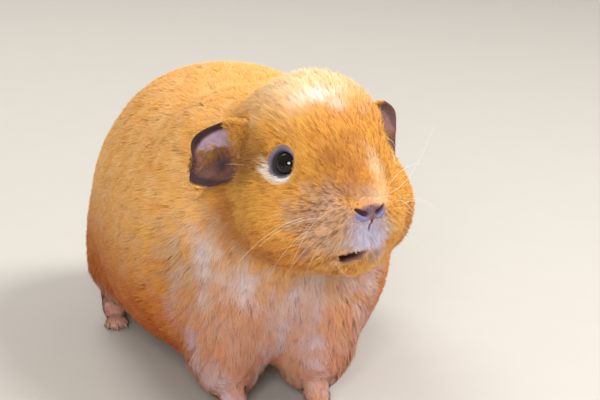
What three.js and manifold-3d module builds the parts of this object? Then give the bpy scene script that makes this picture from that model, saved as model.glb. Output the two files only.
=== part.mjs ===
// A life-size guinea pig that stands on straight forelegs, its head raised and turned a little to its left.
// Millimetres, +Z up. The animal faces -Y, so its right side is at -X. The soles stand at z = 0. All outlines
// are those of the coat's tips. The dimensions count along Y from a line across the front of the belly, and the
// group is moved at the end, so that its origin lies on the floor under the middle of the animal's box.
import * as THREE from "three";
import { mergeVertices } from "three/addons/utils/BufferGeometryUtils.js";
import Module from "manifold-3d";

const wasm = await Module();
wasm.setup();

// ---------------------------------------------------------------- driving dimensions
const GAP = 0.3; // clear space between neighbouring pieces
const TRUNK = { width: 130, length: 196, height: 126 }; // across the belly, brisket to rump, floor to back
const TRUNK_MIDDLE = 22; // how far the trunk's middle lies behind the point between the elbows and flanks
const HEAD = { width: 70, length: 80, height: 74 }; // cheek to cheek, nose to nape, chin to crown
const HEAD_CENTRE = new THREE.Vector3(12, -88, 107);
const HEAD_YAW = 11; // degrees to the animal's left of the trunk's line
const HEAD_PITCH = 2; // degrees nose up
const HEAD_ROLL = 3; // degrees that the right ear hangs below the left one
const NECK_RISE = 36; // degrees that the neck climbs towards the head
const NECK_LENGTH = 13; // between the two cuts that part the neck
const NECK_START = 25; // from the head's centre back to the first of them
const EYE = { radius: 5.4, toward: [0.63, -0.32, 0.135], depth: 3.8 }; // depth from the coat to its middle
const EAR = {
  reach: 15.5, // from its root out to the rim
  height: 23,
  thickness: 2.4,
  cup: 4, // how far the rim stands forward of the middle
  fold: 3, // how far the lower lobe folds forward
  lowerCorner: 0.32, // how far the corners stand out past an oval
  upperCorner: 0.1,
  place: [0.92, 0.42, 0.14],
  outward: { x: 0.85, y: 0.5, z: -0.2 },
  facing: { x: 0.5, y: -0.85, z: -0.1 },
};
const NOSE = { place: [0, -0.97, -0.09], radii: new THREE.Vector3(7.5, 5.5, 5.2) };
const MOUTH = {
  place: [-0.11, -0.74, -0.33], // it opens a little more on the right
  radii: new THREE.Vector3(6.5, 10, 1.7),
  slope: 8,
};
const NECK_ROOT = { place: new THREE.Vector3(0, -38, 90), radius: 42 }; // where the neck leaves the shoulders
const NAPE = { place: [0, 0.36, -0.02], radius: 29 }; // where it meets the head
const ELBOW = { x: 22, y: -46, z: 42, radius: 15 };
const WRIST = { x: 17, y: -58, z: 15, radius: 11.5 };
const FORELEG_SHIFT = -2.5; // the forelegs stand this far towards the right, under the turned head
const FORELEG_OVAL = { x: 20, y: -51, z: 24, radii: new THREE.Vector3(17, 19, 24) }; // flesh of the foreleg
const ANKLE = { x: 48, y: 97, z: 10 };
const THIGH_OVAL = { x: 50, y: 72, z: 38, radii: new THREE.Vector3(22, 36, 32) }; // flesh of the hind leg
const HEM = 1; // how high over the floor the legs' coat ends
const SOLE = 0; // the level of every sole
const SOLE_DEPTH = 0.7; // how much of each pad's roundness is pressed flat on the floor
const FOREFOOT = { radius: 5.6, toes: 4, toeRadius: 2.7, toeLength: 8.5, fan: 17, run: 8, heading: 6 };
const HINDFOOT = { radius: 6.2, toes: 3, toeRadius: 3.1, toeLength: 11, fan: 14, run: 30, heading: 5 };
const THICK_BAR = 4; // the radius from which a rounded bar gets more facets
const CLAW = { length: 7, radius: 1.2, reach: 4.4, lift: 0.6, droop: 1.6 };

const SIDES = [
  { name: "right", sign: -1 },
  { name: "left", sign: 1 },
];

// ---------------------------------------------------------------- materials
const finish = (color, roughness) => new THREE.MeshStandardMaterial({ color, roughness, metalness: 0 });
const gingerCoat = () => finish("#cf8a42", 0.9);
const paleCoat = () => finish("#dcb48c", 0.9);
const earSkin = () => finish("#8d6670", 0.7);
const noseLeather = () => finish("#a07c84", 0.55);
const wetEye = () => finish("#100c0c", 0.08);
const clawHorn = () => finish("#8a7468", 0.5);
const footSkin = () => finish("#c9a596", 0.75);

// ---------------------------------------------------------------- fineness of the faceted solids
const FINE = { head: 8, ear: 9, trunk: 8, neck: 5, leg: 3, oval: 2 }; // times that a ball's edges are split
const TRUNK_STRETCH = [1, 1.5, 1]; // more facets to the trunk's ends
const REACH = { head: 80, trunk: 140, leg: 60 }; // the longest run from a piece's middle to its surface

// ---------------------------------------------------------------- frames
/** A frame turned to the animal's left by yaw, nose up by pitch and right side down by roll, in degrees. */
function turnedFrame(centre, yaw, pitch, roll = 0) {
  const { degToRad } = THREE.MathUtils;
  const turn = new THREE.Euler(degToRad(-pitch), degToRad(-roll), degToRad(yaw), "ZXY");
  return new THREE.Matrix4().makeRotationFromEuler(turn).setPosition(centre);
}

const trunkFrame = turnedFrame(new THREE.Vector3(0, TRUNK_MIDDLE, 0), 0, 0);
const headFrame = turnedFrame(HEAD_CENTRE, HEAD_YAW, HEAD_PITCH, HEAD_ROLL);
const trunkOwner = { frame: trunkFrame, size: TRUNK };
const headOwner = { frame: headFrame, size: HEAD };
const jawFrame = headFrame.clone().multiply(turnedFrame(new THREE.Vector3(), 0, MOUTH.slope));
const JAW_HINGE = 0.05; // the back of the jaw, in shares of the head's half length

/** A vector in an owner's frame, from shares of its half width, half length and height. */
function shares(owner, [x, y, z]) {
  return new THREE.Vector3((x * owner.size.width) / 2, (y * owner.size.length) / 2, z * owner.size.height);
}

/** The same place in the model's frame. */
const placeOn = (owner, place) => shares(owner, place).applyMatrix4(owner.frame);

/** The same place on both sides of an owner. */
const onBothSides = ([x, y, z], make) => SIDES.map(({ sign }) => make([sign * x, y, z]));

// ---------------------------------------------------------------- the body's outer surface
/** A rounded mass, an ellipsoid in shares of its owner, that melts into the others over soft mm. */
function lump(owner, centre, radii, soft) {
  const toOwner = owner.frame.clone().invert();
  const middle = shares(owner, centre);
  const reach = shares(owner, radii);
  const local = new THREE.Vector3();
  const distance = (point) => {
    local.copy(point).applyMatrix4(toOwner).sub(middle).divide(reach);
    const scaled = local.length();
    const slope = local.divide(reach).length();
    return slope === 0 ? -Math.min(reach.x, reach.y, reach.z) : (scaled * (scaled - 1)) / slope;
  };
  return { soft, distance };
}

/** A limb's round cone from one place to another, in mm. */
function limb(from, to, startRadius, endRadius, soft) {
  const along = to.clone().sub(from);
  const offset = new THREE.Vector3();
  const distance = (point) => {
    offset.copy(point).sub(from);
    const share = THREE.MathUtils.clamp(offset.dot(along) / along.lengthSq(), 0, 1);
    const radius = THREE.MathUtils.lerp(startRadius, endRadius, share);
    return offset.addScaledVector(along, -share).length() - radius;
  };
  return { soft, distance };
}

const legPoint = (place, sign, shift = 0) => new THREE.Vector3(sign * place.x + shift, place.y, place.z);
const forelegPoint = (place, sign) => legPoint(place, sign, FORELEG_SHIFT);

const trunkMasses = [
  lump(trunkOwner, [0, 0.08, 0.55], [0.98, 0.74, 0.435], 0), // barrel
  lump(trunkOwner, [0, 0.45, 0.47], [0.88, 0.55, 0.45], 20), // rump
  lump(trunkOwner, [0, -0.46, 0.54], [0.92, 0.48, 0.4], 22), // shoulders
  ...onBothSides([0.44, -0.06, 0.33], (place) => lump(trunkOwner, place, [0.5, 0.74, 0.25], 16)), // flanks
  lump(trunkOwner, [-0.03, -0.58, 0.4], [0.52, 0.34, 0.275], 18), // brisket
  lump(trunkOwner, [0, 0.1, 0.3], [0.5, 0.74, 0.215], 14), // belly
  ...onBothSides([0.33, -0.64, 0.27], (place) => lump(trunkOwner, place, [0.27, 0.3, 0.18], 14)), // elbows
  ...onBothSides([0.6, 0.48, 0.3], (place) => lump(trunkOwner, place, [0.37, 0.38, 0.26], 14)), // thighs
];
const legMasses = SIDES.map(({ sign }) =>
  limb(forelegPoint(ELBOW, sign), forelegPoint(WRIST, sign), ELBOW.radius, WRIST.radius, 10),
);
const headMasses = [
  limb(NECK_ROOT.place, placeOn(headOwner, NAPE.place), NECK_ROOT.radius, NAPE.radius, 16), // neck
  ...onBothSides([0.2, 0.22, 0.13], (place) => lump(headOwner, place, [0.58, 0.68, 0.375], 14)), // skull
  ...onBothSides([0.42, -0.02, -0.2], (place) => lump(headOwner, place, [0.6, 0.62, 0.28], 10)), // cheeks
  lump(headOwner, [0, -0.42, 0.03], [0.47, 0.5, 0.28], 12), // bridge of the nose
  ...onBothSides([0.2, -0.56, -0.16], (place) => lump(headOwner, place, [0.3, 0.36, 0.24], 9)), // lip pads
  lump(headOwner, [0, -0.66, -0.14], [0.28, 0.36, 0.22], 8), // upper lip
  lump(headOwner, [0, -0.4, -0.34], [0.38, 0.38, 0.165], 10), // chin
];
const withoutLegs = [...trunkMasses, ...headMasses];
const withLegs = [...trunkMasses, ...legMasses];

/** The distance from a point to the surface of some masses, below zero inside. */
function distanceTo(masses, point) {
  return masses.reduce((nearest, { soft, distance }) => {
    const next = distance(point);
    if (soft === 0 || nearest === Infinity) return Math.min(nearest, next);
    const overlap = Math.max(soft - Math.abs(nearest - next), 0) / soft;
    return Math.min(nearest, next) - (overlap * overlap * soft) / 4;
  }, Infinity);
}

/** How far a ray from a point inside some masses runs before it leaves them, held to a longest run. */
function runOut(masses, centre, direction, longest, grow) {
  const MARCH = 1.5;
  const HALVINGS = 14;
  const probe = new THREE.Vector3();
  const outside = (run) => distanceTo(masses, probe.copy(centre).addScaledVector(direction, run)) > grow;
  let far = MARCH;
  while (far < longest && !outside(far)) far += MARCH;
  if (far >= longest) return longest;
  let near = far - MARCH;
  for (let i = 0; i < HALVINGS; i += 1) {
    const middle = (near + far) / 2;
    if (outside(middle)) far = middle;
    else near = middle;
  }
  return near;
}

/** A ball of fine triangles, drawn from a centre inside the body out to its surface. */
function bodyAround(centre, masses, { detail, longest, stretch = [1, 1, 1], grow = 0 }) {
  const ball = new THREE.IcosahedronGeometry(1, detail).scale(...stretch);
  const position = ball.getAttribute("position");
  const direction = new THREE.Vector3();
  for (let i = 0; i < position.count; i += 1) {
    direction.fromBufferAttribute(position, i).normalize();
    direction.multiplyScalar(runOut(masses, centre, direction, longest, grow)).add(centre);
    position.setXYZ(i, direction.x, direction.y, direction.z);
  }
  return solidOf(ball);
}

// ---------------------------------------------------------------- solids
/** A closed geometry as a solid that can be joined and cut. */
function solidOf(geometry) {
  const bare = geometry.clone();
  bare.deleteAttribute("normal");
  bare.deleteAttribute("uv");
  const merged = mergeVertices(bare, 1e-4);
  return new wasm.Manifold(
    new wasm.Mesh({
      numProp: 3,
      vertProperties: new Float32Array(merged.getAttribute("position").array),
      triVerts: new Uint32Array(merged.index.array),
    }),
  );
}

/** A named mesh of a solid. */
function pieceOf(name, solid, material) {
  const { vertProperties, triVerts } = solid.getMesh();
  const geometry = new THREE.BufferGeometry();
  geometry.setAttribute("position", new THREE.BufferAttribute(vertProperties, 3));
  geometry.setIndex(new THREE.BufferAttribute(triVerts, 1));
  geometry.computeVertexNormals();
  const mesh = new THREE.Mesh(geometry, material);
  mesh.name = name;
  return mesh;
}

/** A block that fills everything beyond a plane, on the side that a direction points to. */
function blockBeyond(point, direction) {
  const ROOM = 600;
  const turn = new THREE.Quaternion().setFromUnitVectors(new THREE.Vector3(0, 0, 1), direction);
  const block = new THREE.BoxGeometry(ROOM, ROOM, ROOM).translate(0, 0, ROOM / 2);
  return solidOf(block.applyQuaternion(turn).translate(point.x, point.y, point.z));
}

/** An ellipsoid with radii in mm, turned as a frame and placed at a point. */
function ovalSolid(point, radii, frame = new THREE.Matrix4()) {
  const turn = new THREE.Quaternion().setFromRotationMatrix(frame);
  const oval = new THREE.IcosahedronGeometry(1, FINE.oval).scale(radii.x, radii.y, radii.z);
  return solidOf(oval.applyQuaternion(turn).translate(point.x, point.y, point.z));
}

const wider = (radii, by) => radii.clone().addScalar(by);

/** The solid made by joining a list of them. */
const joined = (solids) => solids.reduce((whole, next) => whole.add(next));

// ---------------------------------------------------------------- where the pieces part
const neckRise = THREE.MathUtils.degToRad(NECK_RISE);
const neckAxis = new THREE.Vector3(0, -Math.cos(neckRise), Math.sin(neckRise));
const backFromHead = (run) => HEAD_CENTRE.clone().addScaledVector(neckAxis, -run);
const forward = neckAxis;
const backward = neckAxis.clone().negate();
const up = new THREE.Vector3(0, 0, 1);
const down = new THREE.Vector3(0, 0, -1);

const forelegOval = (sign) => ({ point: forelegPoint(FORELEG_OVAL, sign), radii: FORELEG_OVAL.radii });
const thighOval = (sign) => ({ point: legPoint(THIGH_OVAL, sign), radii: THIGH_OVAL.radii });

// ---------------------------------------------------------------- feet
/** A rounded bar between two places, with fewer facets where it is thin. */
function bar(from, to, radius, grow = 0) {
  const CAP_STEPS = 2;
  const ROUND_STEPS = radius > THICK_BAR ? 8 : 5;
  const along = to.clone().sub(from);
  const capsule = new THREE.CapsuleGeometry(radius + grow, along.length(), CAP_STEPS, ROUND_STEPS);
  const capsuleAxis = new THREE.Vector3(0, 1, 0);
  const turn = new THREE.Quaternion().setFromUnitVectors(capsuleAxis, along.clone().normalize());
  const middle = from.clone().add(to).multiplyScalar(0.5);
  return solidOf(capsule.applyQuaternion(turn).translate(middle.x, middle.y, middle.z));
}

/** Where a foot's toes start and end, spread like a fan about the way it points. */
function toesOf(foot, ball, heading) {
  const OUTER_TOE_LOSS = 0.12; // how much shorter each toe is than its inner neighbour
  const middleToe = (foot.toes - 1) / 2;
  return Array.from({ length: foot.toes }, (_, i) => {
    const turn = THREE.MathUtils.degToRad(heading + foot.fan * (i - middleToe));
    const way = new THREE.Vector3(Math.sin(turn), -Math.cos(turn), 0);
    const length = foot.toeLength * (1 - OUTER_TOE_LOSS * Math.abs(i - middleToe));
    const root = ball.clone().addScaledVector(way, foot.radius / 2);
    const tip = root.clone().addScaledVector(way, length);
    root.z = foot.toeRadius - SOLE_DEPTH;
    tip.z = foot.toeRadius - SOLE_DEPTH;
    return { root, tip, way };
  });
}

/** One claw: a slim cone that leaves its toe level and bends down to its point. */
function clawSolid({ tip, way }, grow) {
  const ROUND_STEPS = 5;
  const LENGTH_STEPS = 2;
  const length = CLAW.length + grow;
  const cone = new THREE.ConeGeometry(CLAW.radius + grow, length, ROUND_STEPS, LENGTH_STEPS);
  const position = cone.getAttribute("position");
  for (let i = 0; i < position.count; i += 1) {
    const share = position.getY(i) / length + 0.5;
    position.setZ(i, position.getZ(i) - CLAW.droop * share * share);
  }
  const turn = new THREE.Quaternion().setFromRotationMatrix(
    new THREE.Matrix4().makeBasis(new THREE.Vector3().crossVectors(way, up), way, up),
  );
  const middle = tip.clone().addScaledVector(way, CLAW.reach + grow / 2);
  middle.z += CLAW.lift;
  return solidOf(cone.applyQuaternion(turn).translate(middle.x, middle.y, middle.z));
}

/** A foot from its joint to its toes, cut flat at the floor, with grow mm of extra flesh. */
function footSolid({ foot, joint, ball, toes }, grow) {
  const palm = bar(joint, ball, foot.radius, grow);
  const fingers = toes.map(({ root, tip }) => bar(root, tip, foot.toeRadius, grow));
  return joined([palm, ...fingers]).intersect(blockBeyond(new THREE.Vector3(0, 0, SOLE - grow), up));
}

/** Everything that shapes one foot: where it starts, the ball of the foot and its toes. */
function footPlan(foot, joint, sign) {
  const heading = sign * foot.heading;
  const way = THREE.MathUtils.degToRad(heading);
  const ball = joint.clone().addScaledVector(new THREE.Vector3(Math.sin(way), -Math.cos(way), 0), foot.run);
  ball.z = foot.radius - SOLE_DEPTH;
  return { foot, joint, ball, toes: toesOf(foot, ball, heading) };
}

// ---------------------------------------------------------------- ears and eyes
/** One ear: a thin cupped petal that stands out from the head and droops, open to the front. */
function earSolid(sign) {
  const ROUND_STEPS = 18;
  const RING_STEPS = 8;
  const petal = new THREE.SphereGeometry(1, ROUND_STEPS, RING_STEPS).rotateX(Math.PI / 2);
  const position = petal.getAttribute("position");
  for (let i = 0; i < position.count; i += 1) {
    const out = position.getX(i);
    const rise = position.getY(i);
    const corner = 1 + (rise < 0 ? EAR.lowerCorner : EAR.upperCorner) * Math.abs(rise * out);
    const cup = EAR.cup * (out * out + rise * rise - 0.5) + EAR.fold * Math.max(0, -rise) ** 2;
    position.setXYZ(
      i,
      out * EAR.reach * corner,
      (rise * EAR.height * corner) / 2,
      (position.getZ(i) * EAR.thickness) / 2 + cup,
    );
  }
  const outward = new THREE.Vector3(EAR.outward.x, EAR.outward.y, EAR.outward.z).normalize();
  const facing = new THREE.Vector3(EAR.facing.x, EAR.facing.y, EAR.facing.z);
  facing.addScaledVector(outward, -facing.dot(outward)).normalize();
  const rise = new THREE.Vector3().crossVectors(facing, outward);
  petal.applyMatrix4(new THREE.Matrix4().makeBasis(outward, rise, facing));
  petal.translate(...shares(headOwner, EAR.place).toArray());
  if (sign < 0) mirrorAcrossX(petal);
  return solidOf(petal.applyMatrix4(headFrame));
}

/** Mirrors a geometry from the left side to the right, and turns its faces outwards again. */
function mirrorAcrossX(geometry) {
  geometry.scale(-1, 1, 1);
  const order = geometry.index.array;
  for (let i = 0; i < order.length; i += 3) [order[i], order[i + 1]] = [order[i + 1], order[i]];
}

// ---------------------------------------------------------------- the pieces
const part = new THREE.Group();
const add = (name, solid, material) => part.add(pieceOf(name, solid, material));

/** A small oval in the head's frame, with its radii in mm. */
const headOval = (place, radii) => ovalSolid(placeOn(headOwner, place), radii, headFrame);

/** An eyeball, its middle a little under the coat, on the line from the head's centre through EYE.toward. */
function eyeSolid(sign, grow) {
  const [x, y, z] = EYE.toward;
  const direction = placeOn(headOwner, [sign * x, y, z]).sub(HEAD_CENTRE).normalize();
  const run = runOut(withoutLegs, HEAD_CENTRE, direction, HEAD.length, 0) - EYE.depth;
  const middle = HEAD_CENTRE.clone().addScaledVector(direction, run);
  return ovalSolid(middle, wider(new THREE.Vector3(), EYE.radius + grow), headFrame);
}

/** The head's and the jaw's flesh, from the crown down to the throat, ahead of the neck. */
function addHead() {
  const skull = bodyAround(HEAD_CENTRE, withoutLegs, { detail: FINE.head, longest: REACH.head });
  const ahead = skull.intersect(blockBeyond(backFromHead(NECK_START), forward));
  const noseOval = headOval(NOSE.place, NOSE.radii);
  const noseRoom = headOval(NOSE.place, wider(NOSE.radii, GAP));
  const mouthGap = headOval(MOUTH.place, MOUTH.radii);
  const lipLine = placeOn(headOwner, MOUTH.place);
  const mouthDown = down.clone().transformDirection(jawFrame);
  const jawFront = placeOn(headOwner, [0, JAW_HINGE, 0]);
  const jawForward = new THREE.Vector3(0, -1, 0).transformDirection(headFrame);
  const jawBlock = blockBeyond(lipLine, mouthDown).intersect(blockBeyond(jawFront, jawForward));
  const aboveLips = lipLine.clone().addScaledVector(mouthDown, -GAP);
  const behindFront = jawFront.clone().addScaledVector(jawForward, -GAP);
  const jawRoom = blockBeyond(aboveLips, mouthDown).intersect(blockBeyond(behindFront, jawForward));
  const sockets = joined(SIDES.map(({ sign }) => eyeSolid(sign, GAP)));
  add("head", ahead.subtract(noseRoom).subtract(jawRoom).subtract(mouthGap).subtract(sockets), gingerCoat());
  add("lower_jaw", ahead.intersect(jawBlock).subtract(mouthGap), gingerCoat());
  add("nose", ahead.intersect(noseOval), noseLeather());
}

/** The short thick neck between its two cuts. */
function addNeck() {
  const centre = backFromHead(NECK_START + NECK_LENGTH / 2);
  const flesh = bodyAround(centre, withoutLegs, { detail: FINE.neck, longest: REACH.head });
  const front = blockBeyond(backFromHead(NECK_START + GAP), backward);
  const back = blockBeyond(backFromHead(NECK_START + NECK_LENGTH), forward);
  add("neck", flesh.intersect(front).intersect(back), gingerCoat());
}

/** The trunk behind the neck, with room for the four legs. */
function addTrunk() {
  const centre = placeOn(trunkOwner, [0, 0, 0.52]);
  const fineness = { detail: FINE.trunk, longest: REACH.trunk, stretch: TRUNK_STRETCH };
  const flesh = bodyAround(centre, withoutLegs, fineness);
  const behind = blockBeyond(backFromHead(NECK_START + NECK_LENGTH + GAP), backward);
  const legRoom = SIDES.flatMap(({ sign }) => [forelegOval(sign), thighOval(sign)]).map(({ point, radii }) =>
    ovalSolid(point, wider(radii, GAP)),
  );
  const footRoom = SIDES.map(({ sign }) => footSolid(hindfoot(sign), GAP));
  add("trunk", flesh.intersect(behind).subtract(joined(legRoom)).subtract(joined(footRoom)), gingerCoat());
}

const forefoot = (sign) => footPlan(FOREFOOT, forelegPoint(WRIST, sign), sign);
const hindfoot = (sign) => footPlan(HINDFOOT, legPoint(ANKLE, sign), sign);

/** A leg's flesh inside its oval, down to its foot. */
function legSolid({ point, radii }, plan) {
  const flesh = bodyAround(point, withLegs, { detail: FINE.leg, longest: REACH.leg });
  const aboveFloor = blockBeyond(new THREE.Vector3(0, 0, SOLE + HEM), up);
  return flesh.intersect(ovalSolid(point, radii)).intersect(aboveFloor).subtract(footSolid(plan, GAP));
}

/** The four legs, each with its foot and claws. */
function addLegs() {
  for (const { name, sign } of SIDES) {
    add(`foreleg_${name}`, legSolid(forelegOval(sign), forefoot(sign)), paleCoat());
    add(`hindleg_${name}`, legSolid(thighOval(sign), hindfoot(sign)), gingerCoat());
    addFoot(`forefoot_${name}`, forefoot(sign));
    addFoot(`hindfoot_${name}`, hindfoot(sign));
  }
}

/** A foot with one claw to each toe, counted from the right. */
function addFoot(name, plan) {
  const clawRoom = joined(plan.toes.map((toe) => clawSolid(toe, GAP)));
  add(name, footSolid(plan, 0).subtract(clawRoom), footSkin());
  plan.toes.forEach((toe, i) => add(`${name}_claw_${i + 1}`, clawSolid(toe, 0), clawHorn()));
}

/** The ears, cut clear of the head that they grow from, and the eyes in their sockets. */
function addEarsAndEyes() {
  const headRoom = bodyAround(HEAD_CENTRE, withoutLegs, { detail: FINE.ear, longest: REACH.head, grow: GAP });
  for (const { name, sign } of SIDES) {
    add(`ear_${name}`, earSolid(sign).subtract(headRoom), earSkin());
    add(`eye_${name}`, eyeSolid(sign, 0), wetEye());
  }
}

addHead();
addNeck();
addTrunk();
addLegs();
addEarsAndEyes();

const box = new THREE.Box3().setFromObject(part);
const middle = box.getCenter(new THREE.Vector3());
part.position.set(-middle.x, -middle.y, -box.min.z);

export default part;
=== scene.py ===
"""A guinea pig as a museum's life-size still model: skin, coat, eyes, claws, whiskers and a plain studio."""

import itertools
import math

import bmesh
import bpy
import numpy as np
from bpy.props import FloatProperty, PointerProperty, StringProperty
from mathutils import Matrix, Vector
from mathutils.bvhtree import BVHTree


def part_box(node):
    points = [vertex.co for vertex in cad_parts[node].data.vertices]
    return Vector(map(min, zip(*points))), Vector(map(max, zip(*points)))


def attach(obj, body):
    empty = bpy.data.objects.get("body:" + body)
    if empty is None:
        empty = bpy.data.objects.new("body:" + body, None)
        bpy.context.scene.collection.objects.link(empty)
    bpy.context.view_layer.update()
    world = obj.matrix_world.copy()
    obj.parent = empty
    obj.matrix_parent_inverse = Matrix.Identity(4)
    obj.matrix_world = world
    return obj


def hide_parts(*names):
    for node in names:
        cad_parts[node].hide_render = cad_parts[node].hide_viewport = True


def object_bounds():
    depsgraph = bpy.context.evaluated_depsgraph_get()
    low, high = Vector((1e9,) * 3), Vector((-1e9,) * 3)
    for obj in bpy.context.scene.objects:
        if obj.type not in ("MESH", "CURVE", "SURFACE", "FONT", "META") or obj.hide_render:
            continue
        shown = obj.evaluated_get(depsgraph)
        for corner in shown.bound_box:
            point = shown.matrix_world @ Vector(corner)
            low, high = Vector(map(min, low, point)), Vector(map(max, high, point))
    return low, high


bl_info = {
    "name": "Guinea Pig Model",
    "version": (1, 0, 0),
    "blender": (4, 5, 0),
    "location": "3D View > Sidebar > Guinea Pig",
    "description": "Builds the skin, coat, eyes, claws and whiskers of a life-size guinea pig",
    "category": "Add Mesh",
}

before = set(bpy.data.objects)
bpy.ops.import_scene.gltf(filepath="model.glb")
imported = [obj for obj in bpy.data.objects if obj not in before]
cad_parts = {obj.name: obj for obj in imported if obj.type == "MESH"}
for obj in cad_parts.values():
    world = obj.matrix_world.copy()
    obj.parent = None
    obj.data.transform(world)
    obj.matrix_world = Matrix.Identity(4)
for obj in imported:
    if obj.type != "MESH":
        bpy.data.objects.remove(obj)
CAD_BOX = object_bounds()  # taken before anything is made
MM = 0.001
SIDES = {"right": -1, "left": 1}
FLOOR_CLEARANCE = 0.3 * MM  # the lowest that a hair may hang


# ---------------------------------------------------------------- the face's frame
def middle(node):
    """The middle of a CAD node's box."""
    low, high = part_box(node)
    return (low + high) / 2


EYES = {side: middle(f"eye_{side}") for side in SIDES}
EYE_RADIUS = (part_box("eye_left")[1].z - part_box("eye_left")[0].z) / 2
FACE = (EYES["right"] + EYES["left"]) / 2  # the face's origin lies midway between the eyeballs
LEFT = (EYES["left"] - EYES["right"]).normalized()
FORWARD = LEFT.cross(Vector((0, 0, 1))).normalized()
UP = FORWARD.cross(LEFT)
FACE_AXES = np.array([LEFT, FORWARD, UP])
BEHIND_FACE = FACE - (FORWARD + UP) * 6 * MM  # the point that both eyes look away from
EYE_AXES = {side: (EYES[side] - BEHIND_FACE).normalized() for side in SIDES}
EYE_SINK = 0.9 * MM  # the eyeball lies this much deeper than its solid, under its lids
EYEBALLS = {side: EYES[side] - EYE_AXES[side] * EYE_SINK for side in SIDES}


def in_face(points):
    """Points as millimetres to the left, forward and up from the face's origin."""
    return (points - np.array(FACE)) @ FACE_AXES.T / MM


def from_face(left, forward, up):
    """The place in the model of a point given in the face's millimetres."""
    return FACE + (LEFT * left + FORWARD * forward + UP * up) * MM


# ---------------------------------------------------------------- number helpers
def ramp(values, start, end):
    """0 before start, 1 after end and a smooth rise between."""
    part = np.clip((values - start) / (end - start), 0, 1)
    return part * part * (3 - 2 * part)


def unit(vectors):
    """The same vectors at length one."""
    return vectors / np.maximum(np.linalg.norm(vectors, axis=1, keepdims=True), 1e-9)


def lengths(vectors):
    """The length of each vector."""
    return np.linalg.norm(vectors, axis=1)


def blob(points, centre, radii, edge=0.5):
    """1 inside an ellipsoid, fading to 0 over a share of its radius."""
    share = lengths((points - np.array(centre)) / np.array(radii))
    return 1 - ramp(share, 1 - edge, 1 + edge)


def blobs(points, spots, edge):
    """1 inside any of some ellipsoids, each given as its centre and radii."""
    return np.max([blob(points, *spot, edge) for spot in spots], axis=0)


def wander(points, size, seed):
    """A smooth random value from -1 to 1 at each point, which changes over about size."""
    count = 32  # cells along each side of the lattice, past which it repeats
    lattice = np.random.default_rng(seed).uniform(-1, 1, (count, count, count))
    at = points / size
    cell = np.floor(at).astype(int)
    part = at - cell
    part = part * part * (3 - 2 * part)
    total = np.zeros(len(points))
    for corner in itertools.product((0, 1), repeat=3):
        weight = np.prod(np.where(corner, part, 1 - part), axis=1)
        i, j, k = ((cell + corner) % count).T
        total += weight * lattice[i, j, k]
    return total


# ---------------------------------------------------------------- mesh helpers
def new_piece(name, shape):
    """Makes an object from a bmesh, and frees the bmesh."""
    mesh = bpy.data.meshes.new(name)
    shape.to_mesh(mesh)
    shape.free()
    piece = bpy.data.objects.new(name, mesh)
    bpy.context.scene.collection.objects.link(piece)
    return piece


def apply_modifier(piece, kind, **settings):
    """Adds one modifier and bakes it into the piece's mesh."""
    modifier = piece.modifiers.new(kind.title(), kind)
    for name, value in settings.items():
        setattr(modifier, name, value)
    graph = bpy.context.evaluated_depsgraph_get()
    shaped = bpy.data.meshes.new_from_object(piece.evaluated_get(graph))
    piece.modifiers.clear()
    before = piece.data
    piece.data = shaped
    bpy.data.meshes.remove(before)


def places(mesh):
    """A mesh's vertices as an array."""
    flat = np.empty(len(mesh.vertices) * 3)
    mesh.vertices.foreach_get("co", flat)
    return flat.reshape(-1, 3)


def outward(mesh):
    """A mesh's vertex normals as an array."""
    flat = np.empty(len(mesh.vertices) * 3)
    mesh.vertex_normals.foreach_get("vector", flat)
    return flat.reshape(-1, 3)


def move_vertices(mesh, points):
    """Puts a mesh's vertices at new places."""
    mesh.vertices.foreach_set("co", points.ravel())
    mesh.update()


def add_attribute(mesh, name, values):
    """Stores one colour of four numbers, or fewer padded with zeros, at each vertex."""
    colours = np.zeros((len(mesh.vertices), 4), np.float32)
    colours[:, : values.shape[1]] = values
    attribute = mesh.attributes.new(name, "FLOAT_COLOR", "POINT")
    attribute.data.foreach_set("color", colours.ravel())


def node_shape(node, grow=0.0):
    """A merged copy of a CAD node as a bmesh, swollen a little so that neighbours touch."""
    shape = bmesh.new()
    shape.from_mesh(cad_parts[node].data)
    bmesh.ops.remove_doubles(shape, verts=shape.verts, dist=0.005 * MM)
    shape.normal_update()
    for vertex in shape.verts:
        vertex.co += vertex.normal * grow
    return shape


def join_into(whole, part):
    """Adds one bmesh to another, and frees the first."""
    mesh = bpy.data.meshes.new("part")
    part.to_mesh(mesh)
    part.free()
    whole.from_mesh(mesh)
    bpy.data.meshes.remove(mesh)


# ---------------------------------------------------------------- settings
def size_property(name, description, default):
    """A length in metres, given in millimetres."""
    return FloatProperty(
        name=name, description=description, default=default * MM, unit="LENGTH", subtype="DISTANCE"
    )


def colour_property(name, description, default):
    """A colour, as an sRGB hex value."""
    return StringProperty(name=name, description=description, default=default)


class SkinSizes(bpy.types.PropertyGroup):
    """How deep the skin lies under the coat, and how fine its mesh is."""

    rough_grain: size_property("First grain", "Voxel that melts the body's parts together", 2.0)
    fine_grain: size_property("Second grain", "Voxel that joins the feet and nose to the body", 1.5)
    trunk_depth: size_property("Trunk coat", "Depth of the coat on back and flanks", 5.0)
    crest: size_property("Crest", "How much higher the skin lies along the back", 3.2)
    cheek_depth: size_property("Cheek coat", "Depth of the coat at the back of the head", 3.2)
    eye_depth: size_property("Coat at the eyes", "Depth of the coat round the eyes", 1.7)
    muzzle_depth: size_property("Muzzle coat", "Depth of the hair beside the nose", 0.4)
    foot_depth: size_property("Foot coat", "Depth of the hair on the feet", 0.3)


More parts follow.
